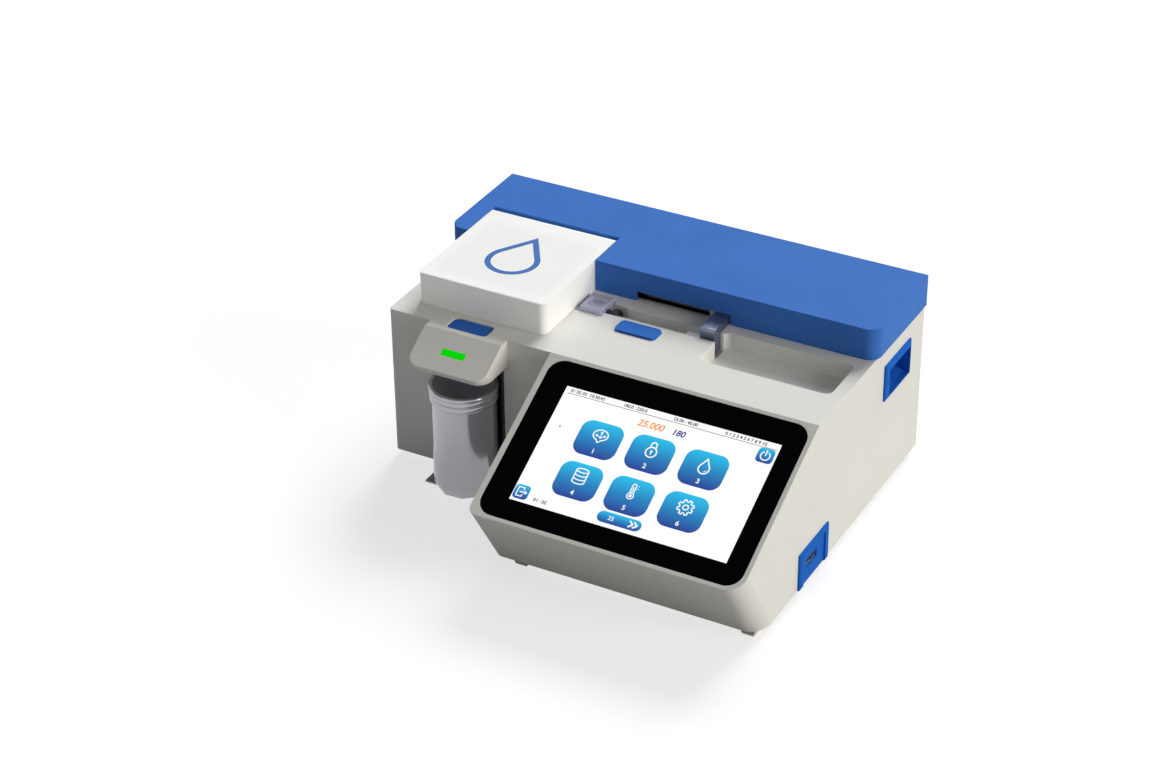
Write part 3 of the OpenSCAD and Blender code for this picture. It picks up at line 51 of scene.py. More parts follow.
# Places on the case, in millimetres from its back (Y) and its underside (Z)
MM = 0.001
BACK_Y = 141.4
FOOT_H = 5.0
DECK_Z = 112.2
SCREEN_TOP_Y = -172.0
SCREEN_RUN = 112.3
SCREEN_DROP = 59.5
LID_TOP_Z = 135.4
LID_X = -96.5
PIPETTE_Y = -104.0
PIPETTE_Z = 107.0
BOTTLE_Y = -181.2
SHELF_Z = -3.8
SPRING_Z = 100.45


def at(x, y, z):
    """A place on the case as a point in the frame, in metres."""
    return Vector((x, y + BACK_Y, z + FOOT_H)) * MM


# Camera, solved from the straight edges in the photograph
AZ, EL, ROLL = (math.radians(v) for v in (28.792, 31.603, -0.608))
CAMERA_PLACE = (0.74795, -1.41406, 1.06806)
LENS = 87.5
back = Vector((math.sin(AZ) * math.cos(EL), -math.cos(AZ) * math.cos(EL), math.sin(EL)))
right = (-back).cross(Vector((0, 0, 1))).normalized()
up = right.cross(-back)
tilted_right = math.cos(ROLL) * right + math.sin(ROLL) * up
tilted_up = -math.sin(ROLL) * right + math.cos(ROLL) * up
camera_data = bpy.data.cameras.new("camera")
camera_data.lens = LENS
camera_data.sensor_width = 36
camera = bpy.data.objects.new("camera", camera_data)
camera.matrix_world = Matrix((tilted_right, tilted_up, back)).transposed().to_4x4()
camera.matrix_world.translation = CAMERA_PLACE
bpy.context.scene.collection.objects.link(camera)
bpy.context.scene.camera = camera
bpy.context.scene.view_settings.view_transform = "Standard"


# Materials
def blank(name):
    """A new material with its nodes, links and shader."""
    material = bpy.data.materials.new(name)
    material.use_nodes = True
    tree = material.node_tree
    return material, tree.nodes, tree.links, tree.nodes["Principled BSDF"]


def noise(nodes, links, scale, detail=2.0, stretch=None):
    """Noise fixed to the piece, of one scale or stretched along the axes."""
    place = nodes.new("ShaderNodeTexCoord")
    texture = nodes.new("ShaderNodeTexNoise")
    texture.inputs["Scale"].default_value = scale
    texture.inputs["Detail"].default_value = detail
    if stretch is None:
        links.new(place.outputs["Object"], texture.inputs["Vector"])
    else:
        mapping = nodes.new("ShaderNodeMapping")
        mapping.inputs["Scale"].default_value = stretch
        links.new(place.outputs["Object"], mapping.inputs["Vector"])
        links.new(mapping.outputs["Vector"], texture.inputs["Vector"])
    return texture.outputs["Fac"]


def spread(nodes, links, value, low, high, socket):
    """Runs a socket from low to high with the noise."""
    span = nodes.new("ShaderNodeMapRange")
    span.inputs["From Min"].default_value = 0.3
    span.inputs["From Max"].default_value = 0.7
    span.inputs["To Min"].default_value = low
    span.inputs["To Max"].default_value = high
    links.new(value, span.inputs["Value"])
    links.new(span.outputs["Result"], socket)


def tint(nodes, links, value, first, second, socket):
    """Runs a colour socket from the first to the second colour with the noise."""
    ramp = nodes.new("ShaderNodeValToRGB")
    ramp.color_ramp.elements[0].position = 0.32
    ramp.color_ramp.elements[1].position = 0.68
    ramp.color_ramp.elements[0].color = (*first, 1)
    ramp.color_ramp.elements[1].color = (*second, 1)
    links.new(value, ramp.inputs["Fac"])
    links.new(ramp.outputs["Color"], socket)


def bumped(nodes, links, value, depth, shader, strength=0.5):
    """Relief of that depth in millimetres."""
    bump = nodes.new("ShaderNodeBump")
    bump.inputs["Strength"].default_value = strength
    bump.inputs["Distance"].default_value = depth * MM
    links.new(value, bump.inputs["Height"])
    links.new(bump.outputs["Normal"], shader.inputs["Normal"])


def near(color, share):
    """A darker or lighter share of a colour."""
    return tuple(min(1.0, c * share) for c in color)


def plastic(name, color, rough=0.5, gloss=0.25, grain=1.0, depth=0.02, vary=0.03, metallic=0.0,
            painted_glow=0.0):
    """Moulded plastic: a fine grain, its size in millimetres, with a slight drift of colour and sheen.
    Its last argument is painted light: an emission that lightens the whole piece evenly, under any lamp."""
    material, nodes, links, shader = blank(name)
    slow = noise(nodes, links, 22, 3)
    tint(nodes, links, slow, near(color, 1 - vary), near(color, 1 + vary), shader.inputs["Base Color"])
    spread(nodes, links, noise(nodes, links, 160, 2), rough - 0.05, rough + 0.05,
           shader.inputs["Roughness"])
    shader.inputs["Specular IOR Level"].default_value = gloss
    shader.inputs["Metallic"].default_value = metallic
    # Painted light: an emission on a piece that is no lamp
    shader.inputs["Emission Color"].default_value = (0.93, 0.94, 1, 1)
    shader.inputs["Emission Strength"].default_value = painted_glow
    bumped(nodes, links, noise(nodes, links, 1000 / grain, 2), depth, shader)
    return material


def metal(name, color, rough=0.3, stretch=(30, 900, 900), depth=0.01, vary=0.08, metallic=1.0):
    """Brushed or ground metal: its scratches run along the axis with the smallest stretch."""
    material, nodes, links, shader = blank(name)
    lines = noise(nodes, links, 1.0, 3, stretch)
    tint(nodes, links, lines, near(color, 1 - vary), near(color, 1 + vary), shader.inputs["Base Color"])
    spread(nodes, links, lines, rough - 0.06, rough + 0.08, shader.inputs["Roughness"])
    shader.inputs["Metallic"].default_value = metallic
    bumped(nodes, links, lines, depth, shader, 0.4)
    return material


def clear(name, color, rough=0.12, through=0.9, ior=1.45, cloud=0.05, painted_glow=0.0):
    """Transparent or milky moulding with faint flow marks. Its last argument is painted light: an
    emission that lightens the whole piece evenly, in place of light scattered inside it.
    """
    material, nodes, links, shader = blank(name)
    flow = noise(nodes, links, 60, 3, (1, 3, 1))
    tint(nodes, links, flow, near(color, 1 - cloud), near(color, 1 + cloud), shader.inputs["Base Color"])
    spread(nodes, links, noise(nodes, links, 300, 2), rough, rough + 0.06, shader.inputs["Roughness"])
    shader.inputs["Transmission Weight"].default_value = through
    # Painted light: an emission on a piece that is no lamp
    shader.inputs["Emission Color"].default_value = (1, 1, 0.97, 1)
    shader.inputs["Emission Strength"].default_value = painted_glow
    shader.inputs["IOR"].default_value = ior
    bumped(nodes, links, flow, 0.02, shader, 0.3)
    return material


def lit(name, color, strength, edge=0.96, scale=900):
    """A lit surface, with the faint unevenness of a diffuser or of pixels."""
    material, nodes, links, shader = blank(name)
    fine = noise(nodes, links, scale, 1)
    tint(nodes, links, fine, near(color, edge), color, shader.inputs["Emission Color"])
    shader.inputs["Emission Strength"].default_value = strength
    shader.inputs["Base Color"].default_value = (0.001, 0.001, 0.001, 1)
    shader.inputs["Roughness"].default_value = 0.35
    shader.inputs["Specular IOR Level"].default_value = 0.01
    return material


def graded(name, top, middle, low):
    """A lit surface whose colour runs from its upper to its lower edge."""
    material, nodes, links, shader = blank(name)
    place = nodes.new("ShaderNodeTexCoord")
    parts = nodes.new("ShaderNodeSeparateXYZ")
    ramp = nodes.new("ShaderNodeValToRGB")
    ramp.color_ramp.elements[0].color = (*low, 1)
    ramp.color_ramp.elements[1].color = (*top, 1)
    between = ramp.color_ramp.elements.new(0.5)
    between.color = (*middle, 1)
    links.new(place.outputs["Generated"], parts.inputs["Vector"])
    links.new(parts.outputs["Y"], ramp.inputs["Fac"])
    links.new(ramp.outputs["Color"], shader.inputs["Emission Color"])
    shader.inputs["Emission Strength"].default_value = 1.0
    shader.inputs["Base Color"].default_value = (0.001, 0.001, 0.001, 1)
    shader.inputs["Specular IOR Level"].default_value = 0.01
    return material


def board(name, color):
    """Solder mask with tracks that stand a little proud and show paler."""
    material, nodes, links, shader = blank(name)
    place = nodes.new("ShaderNodeTexCoord")
    tracks = nodes.new("ShaderNodeTexBrick")
    tracks.inputs["Scale"].default_value = 60
    tracks.inputs["Mortar Size"].default_value = 0.03
    tracks.inputs["Color1"].default_value = (*color, 1)
    tracks.inputs["Color2"].default_value = (*near(color, 0.8), 1)
    tracks.inputs["Mortar"].default_value = (*near(color, 1.9), 1)
    links.new(place.outputs["Object"], tracks.inputs["Vector"])
    links.new(tracks.outputs["Color"], shader.inputs["Base Color"])
    bumped(nodes, links, tracks.outputs["Fac"], 0.04, shader)
    spread(nodes, links, noise(nodes, links, 90, 2), 0.28, 0.4, shader.inputs["Roughness"])
    return material


def cells(name, color, size, depth, rough=0.85):
    """Foam or rubber with closed cells, their size in millimetres."""
    material, nodes, links, shader = blank(name)
    place = nodes.new("ShaderNodeTexCoord")
    cell = nodes.new("ShaderNodeTexVoronoi")
    cell.inputs["Scale"].default_value = 1000 / size
    links.new(place.outputs["Object"], cell.inputs["Vector"])
    tint(nodes, links, cell.outputs["Distance"], near(color, 0.8), near(color, 1.15),
         shader.inputs["Base Color"])
    bumped(nodes, links, cell.outputs["Distance"], depth, shader)
    spread(nodes, links, noise(nodes, links, 120, 2), rough - 0.06, rough + 0.06,
           shader.inputs["Roughness"])
    shader.inputs["Specular IOR Level"].default_value = 0.2
    return material


LOOK = {
    "case_plastic": plastic("case_plastic", (0.765, 0.76, 0.727), 0.55, 0.06, 0.8, 0.01, 0.012),
    "cover_blue": plastic("cover_blue", (0.052, 0.182, 0.585), 0.48, 0.03, 0.7, 0.012, 0.04),
    "fitting_blue": plastic("fitting_blue", (0.013, 0.125, 0.55), 0.45, 0.012, 0.7, 0.01, 0.04),
    "button_blue": plastic("button_blue", (0.03, 0.155, 0.58), 0.45, 0.04, 0.7, 0.01, 0.04),
    "black_plastic": plastic("black_plastic", (0.018, 0.018, 0.019), 0.45, 0.3, 0.8, 0.02, 0.2),
    "ceramic": plastic("ceramic", (0.82, 0.82, 0.79), 0.4, 0.4, 0.5, 0.01, 0.03),
    "screen_black": plastic("screen_black", (0.0012, 0.0012, 0.0013), 0.2, 0.006, 3.0, 0.001, 0.2),
    # The bottle's last figure, 0.009, is painted light: an emission that lightens the whole bottle
    "bottle_grey": plastic("bottle_grey", (0.55, 0.555, 0.595), 0.17, 0.5, 4.0, 0.003, 0.02, 0.5, 0.009),
    "shelf_metal": metal("shelf_metal", (0.30, 0.34, 0.41), 0.32, (700, 40, 700), 0.01, 0.12, 0.8),
    "sheet_steel": metal("sheet_steel", (0.60, 0.60, 0.60), 0.35, (40, 700, 700), 0.01),
    "screw_steel": metal("screw_steel", (0.30, 0.30, 0.31), 0.35, (400, 400, 400), 0.01),
    "bracket_aluminium": metal("bracket_aluminium", (0.66, 0.67, 0.68), 0.32, (30, 900, 900), 0.01),
    "brass": metal("brass", (0.66, 0.46, 0.18), 0.28, (900, 900, 60), 0.008),
    "sink_metal": metal("sink_metal", (0.30, 0.31, 0.33), 0.4, (60, 900, 900), 0.01),
    "ground_steel": metal("ground_steel", (0.70, 0.70, 0.71), 0.18, (20, 1200, 1200), 0.005),
    "motor_black": metal("motor_black", (0.05, 0.05, 0.055), 0.4, (300, 300, 300), 0.02, 0.2, 0.5),
    "pusher_metal": metal("pusher_metal", (0.17, 0.20, 0.28), 0.34, (900, 60, 900), 0.008, 0.14, 0.85),
    "foot_rubber": cells("foot_rubber", (0.60, 0.57, 0.48), 0.8, 0.02),
    "foam": cells("foam", (0.12, 0.12, 0.14), 1.2, 0.15),
    "board_green": board("board_green", (0.015, 0.13, 0.05)),
    "display": lit("display", (0.9, 0.94, 1.0), 0.8),
    "lens_green": lit("lens_green", (0.0, 0.68, 0.0), 1.0, 0.93, 1500),
    "clear_tube": clear("clear_tube", (0.86, 0.90, 0.92), 0.08),
    "chip_glass": clear("chip_glass", (0.62, 0.78, 0.86), 0.04, 0.92, 1.5, 0.08),
    "pipette_clear": clear("pipette_clear", (0.74, 0.76, 0.88), 0.1),
    # The last figures of block_lilac and lid_white, 0.02 and 0.045, are painted light: emissions that
    # lighten them evenly
    "block_lilac": clear("block_lilac", (0.72, 0.74, 0.92), 0.12, 0.62, 1.4, 0.04, 0.02),
    "lid_white": clear("lid_white", (0.99, 0.99, 0.975), 0.4, 0.13, 1.3, 0.006, 0.045),
}

# Every node takes the look of its slot
for entry in frame["record"]["subparts"]:
    mesh = NODES[entry["node"]].data
    mesh.materials.clear()
    mesh.materials.append(LOOK[entry["material_slot"]])

# The pusher's drive is darker than the other ground parts
dark_steel = metal("dark_steel", (0.035, 0.036, 0.04), 0.3, (20, 1200, 1200), 0.005)
for name in ("guide_rods", "lead_screw", "screw_bearing", "motor_coupler"):
    NODES[name].data.materials[0] = dark_steel


# Softened edges on the moulded and machined nodes
def soften(name, width, join=True, angle=35, segments=2):
    """Bevels a node's edges. Join first makes one face of those that lie in one plane, which a node with
    a pocket in such a face can't take."""
    node = NODES[name]
    weld = node.modifiers.new("weld", "WELD")
    weld.merge_threshold = 0.000002
    if join:
        flat = node.modifiers.new("flat", "DECIMATE")
        flat.decimate_type = "DISSOLVE"
        flat.angle_limit = math.radians(0.4)
    bevel = node.modifiers.new("edges", "BEVEL")
    bevel.width = width * MM
    bevel.segments = segments
    bevel.limit_method = "ANGLE"
    bevel.angle_limit = math.radians(angle)


POCKETED = ("grip_right", "grip_left", "usb_bezel", "pusher", "pipette_block")
for name, width in {
    "housing": 0.5, "top_cover": 0.4, "lid_shell": 0.5, "lid_button": 0.5, "pipette_button": 0.5,
    "usb_bezel": 0.4, "grip_right": 0.5, "grip_left": 0.5, "pusher": 0.4, "pipette_block": 0.3,
    "power_inlet": 0.4, "fan_frame": 0.4, "feet": 0.4, "power_rocker": 0.3, "bottle_cradle": 0.3,
}.items():
    soften(name, width, name not in POCKETED)


# Frames that flat pieces are drawn in: X along, Y up the face, Z out of it
def face(origin, angle):
    across = Vector((1, 0, 0))
    along = Vector((0, math.cos(angle), math.sin(angle)))
    placed = Matrix((across, along, across.cross(along))).transposed().to_4x4()
    placed.translation = origin
    return placed


SCREEN = face(at(0, SCREEN_TOP_Y, DECK_Z), math.atan2(SCREEN_DROP, SCREEN_RUN))
LID_TOP = face(at(0, 0, LID_TOP_Z), 0)


def rounded(cx, cy, w, h, r, steps=8):
    """A rectangle with round corners."""
    points = []
    for x, y, start in ((1, 1, 0), (-1, 1, 90), (-1, -1, 180), (1, -1, 270)):
        for i in range(steps + 1):
            turn = math.radians(start + 90 * i / steps)
            points.append((cx + x * (w / 2 - r) + r * math.cos(turn),
                           cy + y * (h / 2 - r) + r * math.sin(turn)))
    return points


def arc(cx, cy, rx, ry, first, last, steps=16):
    turns = [math.radians(first + (last - first) * i / steps) for i in range(steps + 1)]
    return [(cx + rx * math.cos(t), cy + ry * math.sin(t)) for t in turns]


def disc(cx, cy, r, steps=16):
    return arc(cx, cy, r, r, 0, 360, steps)[:-1]


def stroke(points, width, closed=False):
    """A line of that width through the points: a box for each step and a disc for each bend."""
    shapes = []
    ends = list(zip(points, points[1:] + (points[:1] if closed else [])))
    for (ax, ay), (bx, by) in ends:
        length = math.hypot(bx - ax, by - ay)
        if length < 1e-6:
            continue
        nx = -(by - ay) / length * width / 2
        ny = (bx - ax) / length * width / 2
        shapes.append([(ax + nx, ay + ny), (ax - nx, ay - ny), (bx - nx, by - ny), (bx + nx, by + ny)])
    shapes += [disc(x, y, width / 2, 10) for x, y in points]
    return shapes


def ring(points, width):
    """A closed line of that width, the points on its outside and clockwise, as quads side by side."""
    inside = []
    for before, here, after in zip(points[-1:] + points[:-1], points, points[1:] + points[:1]):
        first = (Vector(here) - Vector(before)).normalized()
        second = (Vector(after) - Vector(here)).normalized()
        normal = Vector((first.y + second.y, -first.x - second.x)).normalized()
        reach = width / max(0.3, normal.dot(Vector((first.y, -first.x))))
        inside.append((here[0] + normal.x * reach, here[1] + normal.y * reach))
    steps = zip(points, points[1:] + points[:1], inside[1:] + inside[:1], inside)
    return [list(step) for step in steps]


def flat_piece(name, body, slot, material, placed, shapes, low, high):
    """Flat shapes of one material, each a closed outline in millimetres, from height low to high."""
    points = []
    faces = []
    for shape in shapes:
        n = len(shape)
        start = len(points)
        points += [(x, y, low) for x, y in shape] + [(x, y, high) for x, y in shape]
        area = sum(x0 * y1 - x1 * y0 for (x0, y0), (x1, y1) in zip(shape, shape[1:] + shape[:1]))
        ring = list(range(n)) if area > 0 else list(range(n))[::-1]
        faces.append([start + n + i for i in ring])
        faces.append([start + i for i in reversed(ring)])
        for i, j in zip(ring, ring[1:] + ring[:1]):
            faces.append([start + i, start + j, start + n + j, start + n + i])
    mesh = bpy.data.meshes.new(name)
    mesh.from_pydata([placed @ (Vector(p) * MM) for p in points], [], faces)
    return shown(name, mesh, body, material)


def shown(name, mesh, body, material):
    """Puts a mesh in the scene as a piece of that body and material."""
    mesh.materials.clear()
    mesh.materials.append(material)
    piece = bpy.data.objects.new(name, mesh)
    bpy.context.scene.collection.objects.link(piece)
    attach(piece, body)
    return piece


def numerals(text, size, x, y, slant=0.0, bold=0.012):
    """Digits as triangles, centred at x, y. Bold above 0.022 breaks the fill of 6, 8 and 9."""
    curve = bpy.data.curves.new("digits", "FONT")
    curve.body = text
    curve.size = size
    curve.shear = slant
    curve.offset = size * bold
    curve.align_x = "CENTER"
    curve.align_y = "CENTER"
    drawn = bpy.data.objects.new("digits", curve)
    mesh = bpy.data.meshes.new_from_object(drawn)
    shapes = [[(mesh.vertices[i].co.x + x, mesh.vertices[i].co.y + y) for i in p.vertices]
              for p in mesh.polygons]
    bpy.data.objects.remove(drawn)
    bpy.data.curves.remove(curve)
    return shapes


# The lit page of the screen: the tiles and signs of an instrument, with plain numbers
WHITE = (1.0, 1.0, 1.0)
page_white = lit("page_white", WHITE, 1.0, 0.99)
sign_white = lit("sign_white", WHITE, 1.0, 0.98)
ink_black = lit("ink_black", (0.008, 0.008, 0.01), 1.0, 0.8)
ink_orange = lit("ink_orange", (0.95, 0.31, 0.03), 1.0, 0.97)
ink_navy = lit("ink_navy", (0.024, 0.03, 0.27), 1.0, 0.95)
tile_blue = graded("tile_blue", (0.028, 0.53, 0.84), (0.028, 0.24, 0.55), (0.03, 0.055, 0.31))

# Heights over the glass at which each layer starts and ends, so that no two faces fall together
PAGE = (0.0, 0.03)
INK = (0.02, 0.05)
TILE = (0.02, 0.06)
SIGN = (0.05, 0.09)
TILE_X = (26.0, 63.0, 100.8)
TILE_Y = (-52.0, -84.0)
TILE_W, TILE_H, TILE_R = 30.2, 26.0, 7.4


def on_screen(name, material, shapes, layer):
    """A flat piece of the lit page, in one of the layers."""
    flat_piece(name, "chassis", "display", material, SCREEN, shapes, *layer)


page = [(-11.8, -109.2), (142.0, -109.2), (142.0, -20.4), (-11.8, -20.4)]
on_screen("screen_page", page_white, [page], PAGE)
for row, y in enumerate(TILE_Y):
    for column, x in enumerate(TILE_X):
        on_screen(f"screen_tile_{3 * row + column + 1}", tile_blue,
                  [rounded(x, y, TILE_W, TILE_H, TILE_R)], TILE)
on_screen("screen_tile_power", tile_blue, [rounded(134.8, -30.7, 11.4, 10.6, 2.6)], TILE)
on_screen("screen_tile_exit", tile_blue, [rounded(-6.0, -102.2, 10.6, 10.4, 2.6)], TILE)
on_screen("screen_pill", tile_blue, [rounded(64.4, -102.4, 31.0, 8.0, 3.98)], TILE)

# Sign 1: a bubble with a web of points in it
signs = []
x, y = TILE_X[0], -48.4
signs += stroke(arc(x, y, 5.2, 3.9, -70, 250, 24), 0.85)
signs += stroke([(x - 1.8, y - 3.6), (x - 0.2, y - 5.6), (x + 1.8, y - 3.6)], 0.85)
web = [(x - 2.6, y - 0.6), (x + 0.2, y + 1.9), (x + 0.4, y - 1.6), (x + 3.0, y - 0.2)]
signs += stroke([web[0], web[2], web[1]], 0.55) + stroke([web[2], web[3]], 0.55)
signs += [disc(px, py, 0.85) for px, py in web]

# Sign 2: a padlock
x, y = TILE_X[1], -50.2
signs += stroke(arc(x, y, 3.7, 3.7, 0, 345, 24), 0.9, True)
shackle = [(x - 1.9, y + 4.0)] + arc(x, y + 5.4, 1.9, 1.9, 180, 0, 10) + [(x + 1.9, y + 4.0)]
signs += stroke(shackle, 0.9)
signs += [disc(x, y + 0.6, 0.85)] + stroke([(x, y + 0.6), (x, y - 1.5)], 0.7)

# Sign 3: a drop
x, y = TILE_X[2], -50.0
drop = [(x, y + 6.2), (x + 1.7, y + 3.0)]
drop += arc(x, y - 1.2, 3.7, 3.7, 28, -208, 24) + [(x - 1.7, y + 3.0)]
signs += stroke(drop, 0.9, True) + stroke(arc(x, y - 1.4, 2.1, 2.1, -20, -70, 6), 0.5)

# Sign 4: a stack of discs
x, y = TILE_X[0] + 0.2, -80.2
signs += stroke(arc(x, y + 4.2, 4.3, 1.5, 0, 345, 24), 0.8, True)
for level in (1.4, -1.4, -4.2):
    signs += stroke(arc(x, y + level, 4.3, 1.5, 180, 360, 14), 0.8)
signs += stroke([(x - 4.3, y + 4.2), (x - 4.3, y - 4.2)], 0.8)
signs += stroke([(x + 4.3, y + 4.2), (x + 4.3, y - 4.2)], 0.8)

# Sign 5: a thermometer
x, y = TILE_X[1] + 0.4, -80.4
signs += stroke([(x - 1.25, y - 1.6), (x - 1.25, y + 4.4)] + arc(x, y + 4.4, 1.25, 1.25, 180, 0, 10)
                + [(x + 1.25, y - 1.6)] + arc(x, y - 3.2, 2.2, 2.2, 48, -228, 20), 0.75)
signs += stroke([(x, y + 3.0), (x, y - 3.0)], 0.7) + [disc(x, y - 3.2, 1.1)]
signs += stroke([(x + 2.4, y + 4.6), (x + 3.3, y + 4.6)], 0.4)
signs += stroke([(x + 2.4, y + 2.6), (x + 3.3, y + 2.6)], 0.4)

# Sign 6: a cogwheel
x, y = TILE_X[2] + 0.4, -80.6
gear = []
for tooth in range(8):
    for turn, r in ((-14, 4.2), (-9, 5.5), (9, 5.5), (14, 4.2)):
        angle = math.radians(45 * tooth + turn + 22.5)
        gear.append((x + r * math.cos(angle), y + r * math.sin(angle)))
signs += stroke(gear, 0.8, True) + stroke(arc(x, y, 1.8, 1.8, 0, 345, 20), 0.8, True)

# The signs for power and exit, and the arrows and number of the pill
x, y = 134.8, -30.7
signs += stroke(arc(x, y - 0.2, 3.1, 3.1, 125, 415, 24), 0.8)
signs += stroke([(x, y + 4.0), (x, y + 0.2)], 0.8)
x, y = -6.2, -102.2
signs += stroke([(x + 1.2, y + 1.8), (x + 1.2, y + 3.2), (x - 2.8, y + 3.2), (x - 2.8, y - 3.2),
                 (x + 1.2, y - 3.2), (x + 1.2, y - 1.8)], 0.7)
signs += stroke([(x - 0.9, y), (x + 3.0, y)], 0.8)
signs += [[(x + 2.4, y + 1.5), (x + 2.4, y - 1.5), (x + 4.3, y)]]
for x in (71.6, 74.6):
    signs += stroke([(x, -100.4), (x + 2.4, -102.4), (x, -104.4)], 1.1)
for row, y in enumerate(TILE_Y):
    for column, x in enumerate(TILE_X):
        signs += numerals(str(3 * row + column + 1), 4.8, x, y - 8.8, 0.0, 0.02)
signs += numerals("25", 4.2, 58.6, -102.5)
on_screen("screen_signs", sign_white, signs, SIGN)

# The head line with its figures, the counts and the reading
ink = stroke([(-9.0, -25.1), (140.4, -25.1)], 0.35)
for text, x in (("01 02 03  10:30:45", 4.6), ("180.0 : 250.0", 39.2), ("25.00 : 40.00", 75.4),
                ("0 1 2 3 4 5 6 7 8 9 10", 118.0)):
    ink += numerals(text, 3.3, x, -22.8, 0.0, 0.022)
ink += numerals("01 : 02", 3.4, 8.6, -105.0, 0.0, 0.022)
ink += [[(-3.6, -48.6), (-2.6, -50.2), (-3.6, -50.6)]]
on_screen("screen_ink", ink_black, ink, INK)
on_screen("screen_reading", ink_orange, numerals("25.000", 6.8, 54.6, -32.0, 0.15, 0.016), INK)
on_screen("screen_count", ink_navy, numerals("180", 6.2, 74.4, -32.2, 0.15, 0.022), INK)


# Pieces that stand for plainer nodes
def turned(name, body, material, profile, origin, along=(0, 0, 1), steps=96, sharp=28, shape=None,
           loop=False):
    """A profile of radius and height in millimetres, turned about the axis through the origin. Shape may
    change the radius round the turn, and loop closes the profile on itself."""
    work = bmesh.new()
    rings = []
    for r, h in profile:
        if r < 1e-6:
            rings.append([work.verts.new((0, 0, h * MM))] * steps)
            continue
        row = []
        for i in range(steps):
            turn = math.tau * i / steps
            reach = (shape(r, h, turn) if shape else r) * MM
            row.append(work.verts.new((reach * math.cos(turn), reach * math.sin(turn), h * MM)))
        rings.append(row)
    if loop:
        rings.append(rings[0])
    for low, high in zip(rings, rings[1:]):
        for i in range(steps):
            j = (i + 1) % steps
            corners = []
            for corner in (low[i], low[j], high[j], high[i]):
                if corner not in corners:
                    corners.append(corner)
            if len(corners) > 2:
                work.faces.new(corners)
    bmesh.ops.recalc_face_normals(work, faces=work.faces)
    axis = Vector(along)
    work.transform(Matrix.Translation(origin) @ axis.to_track_quat("Z", "Y").to_matrix().to_4x4())
    mesh = bpy.data.meshes.new(name)
    work.to_mesh(mesh)
    work.free()
    mesh.shade_smooth()
    mesh.set_sharp_from_angle(angle=math.radians(sharp))
    return shown(name, mesh, body, material)


def swell(h0, h1, r0, r1, steps=8):
    """Profile of a rounded ridge from radius r0 up to r1 and back."""
    points = []
    for i in range(steps + 1):
        rise = math.sin(math.pi * i / steps) ** 0.8 if 0 < i < steps else 0.0
        points.append((r0 + (r1 - r0) * rise, h0 + (h1 - h0) * i / steps))
    return points


BOTTLE_R = 22.2
BOTTLE_H = 80.2
RIM_R = 23.9


def foot_facets(r, h, turn):
    """Ten flat facets cut the bottle's foot, up to where they run out on the round body."""
    if h > 7.0 or r < BOTTLE_R - 3.0:
        return r
    part = math.tau / 10
    off = (turn - math.radians(-69.2) + part / 2) % part - part / 2
    flat = (19.6 + 0.42 * h) / math.cos(part / 2 - abs(off))
    return min(r, flat)


bottle_out = [(0, 0), (BOTTLE_R - 2.9, 0)]
bottle_out += [(BOTTLE_R, h) for h in (0.0, 1.2, 2.4, 3.6, 4.8, 6.0, 7.2, 20, 40, 60, 67.6)]
bottle_out += swell(68.6, 72.4, BOTTLE_R + 0.1, RIM_R - 0.5)
bottle_out += swell(72.9, 76.7, BOTTLE_R + 0.2, RIM_R - 0.4)
bottle_out += [(BOTTLE_R + 0.3, 77.4), (RIM_R - 0.5, 77.9), (RIM_R, 78.4), (RIM_R, 79.3),
               (RIM_R - 0.4, 79.9), (RIM_R - 1.0, BOTTLE_H), (BOTTLE_R - 1.2, BOTTLE_H),
               (BOTTLE_R - 1.5, 79.7), (BOTTLE_R - 1.5, 8), (BOTTLE_R - 3.9, 2.4), (0, 2)]
bottle = turned("bottle_body", "bottle", LOOK["bottle_grey"], bottle_out,
                at(LID_X, BOTTLE_Y, SHELF_Z), steps=160, sharp=14, shape=foot_facets)
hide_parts("waste_bottle")

PLUNGER_END = 43.25
PAD_X = PLUNGER_END - 11.3
rod = [(0, -36), (2.4, -36), (2.55, -35.6), (2.55, -31.6), (2.4, -31), (1.1, -31)]
x = -30.4
while x < PAD_X - 2.0:
    rod += [(1.1, x), (1.55, x + 0.25), (1.6, x + 0.6), (1.55, x + 0.95), (1.1, x + 1.2)]
    x += 2.3
rod += [(1.1, PAD_X - 0.6), (1.6, PAD_X)]
for k in range(5):
    x = PAD_X + 0.3 + k * 2.1
    rod += [(1.6, x), (3.5, x + 0.2), (3.85, x + 0.5), (3.85, x + 0.8), (3.5, x + 1.1), (1.6, x + 1.3)]
rod += [(1.6, PLUNGER_END - 0.7), (3.6, PLUNGER_END - 0.6), (3.7, PLUNGER_END), (0, PLUNGER_END)]
# The rod's last figure, 0.05, is painted light: an emission that lightens it evenly
rod_milky = clear("rod_milky", (0.88, 0.89, 0.94), 0.25, 0.15, 1.45, 0.02, 0.05)
plunger = turned("plunger_rod", "plunger", rod_milky, rod,
                 at(0, PIPETTE_Y, PIPETTE_Z), (1, 0, 0), steps=40)
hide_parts("pipette_plunger")

# The pipette's collar: a chamfered ring with a recessed face, its neck and its foot
BORE = 1.65
collar = turned("collar_ring", "chassis", LOOK["black_plastic"],
                [(BORE, -28), (4.1, -28), (4.1, -23.4), (5.2, -23.1), (5.8, -22.5), (5.8, -19.5),
                 (5.3, -19), (4.7, -19), (4.4, -19.5), (4.4, -20), (BORE, -20)],
                at(0, PIPETTE_Y, PIPETTE_Z), (1, 0, 0), steps=48, loop=True)
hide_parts("pipette_collar")
flat_piece("collar_foot", "chassis", "black_plastic", LOOK["black_plastic"],
           Matrix.Translation(at(0, PIPETTE_Y, 0)),
           [[(-25, -4), (-20, -4), (-20, 4), (-25, 4)]], 98.5, 103.4)


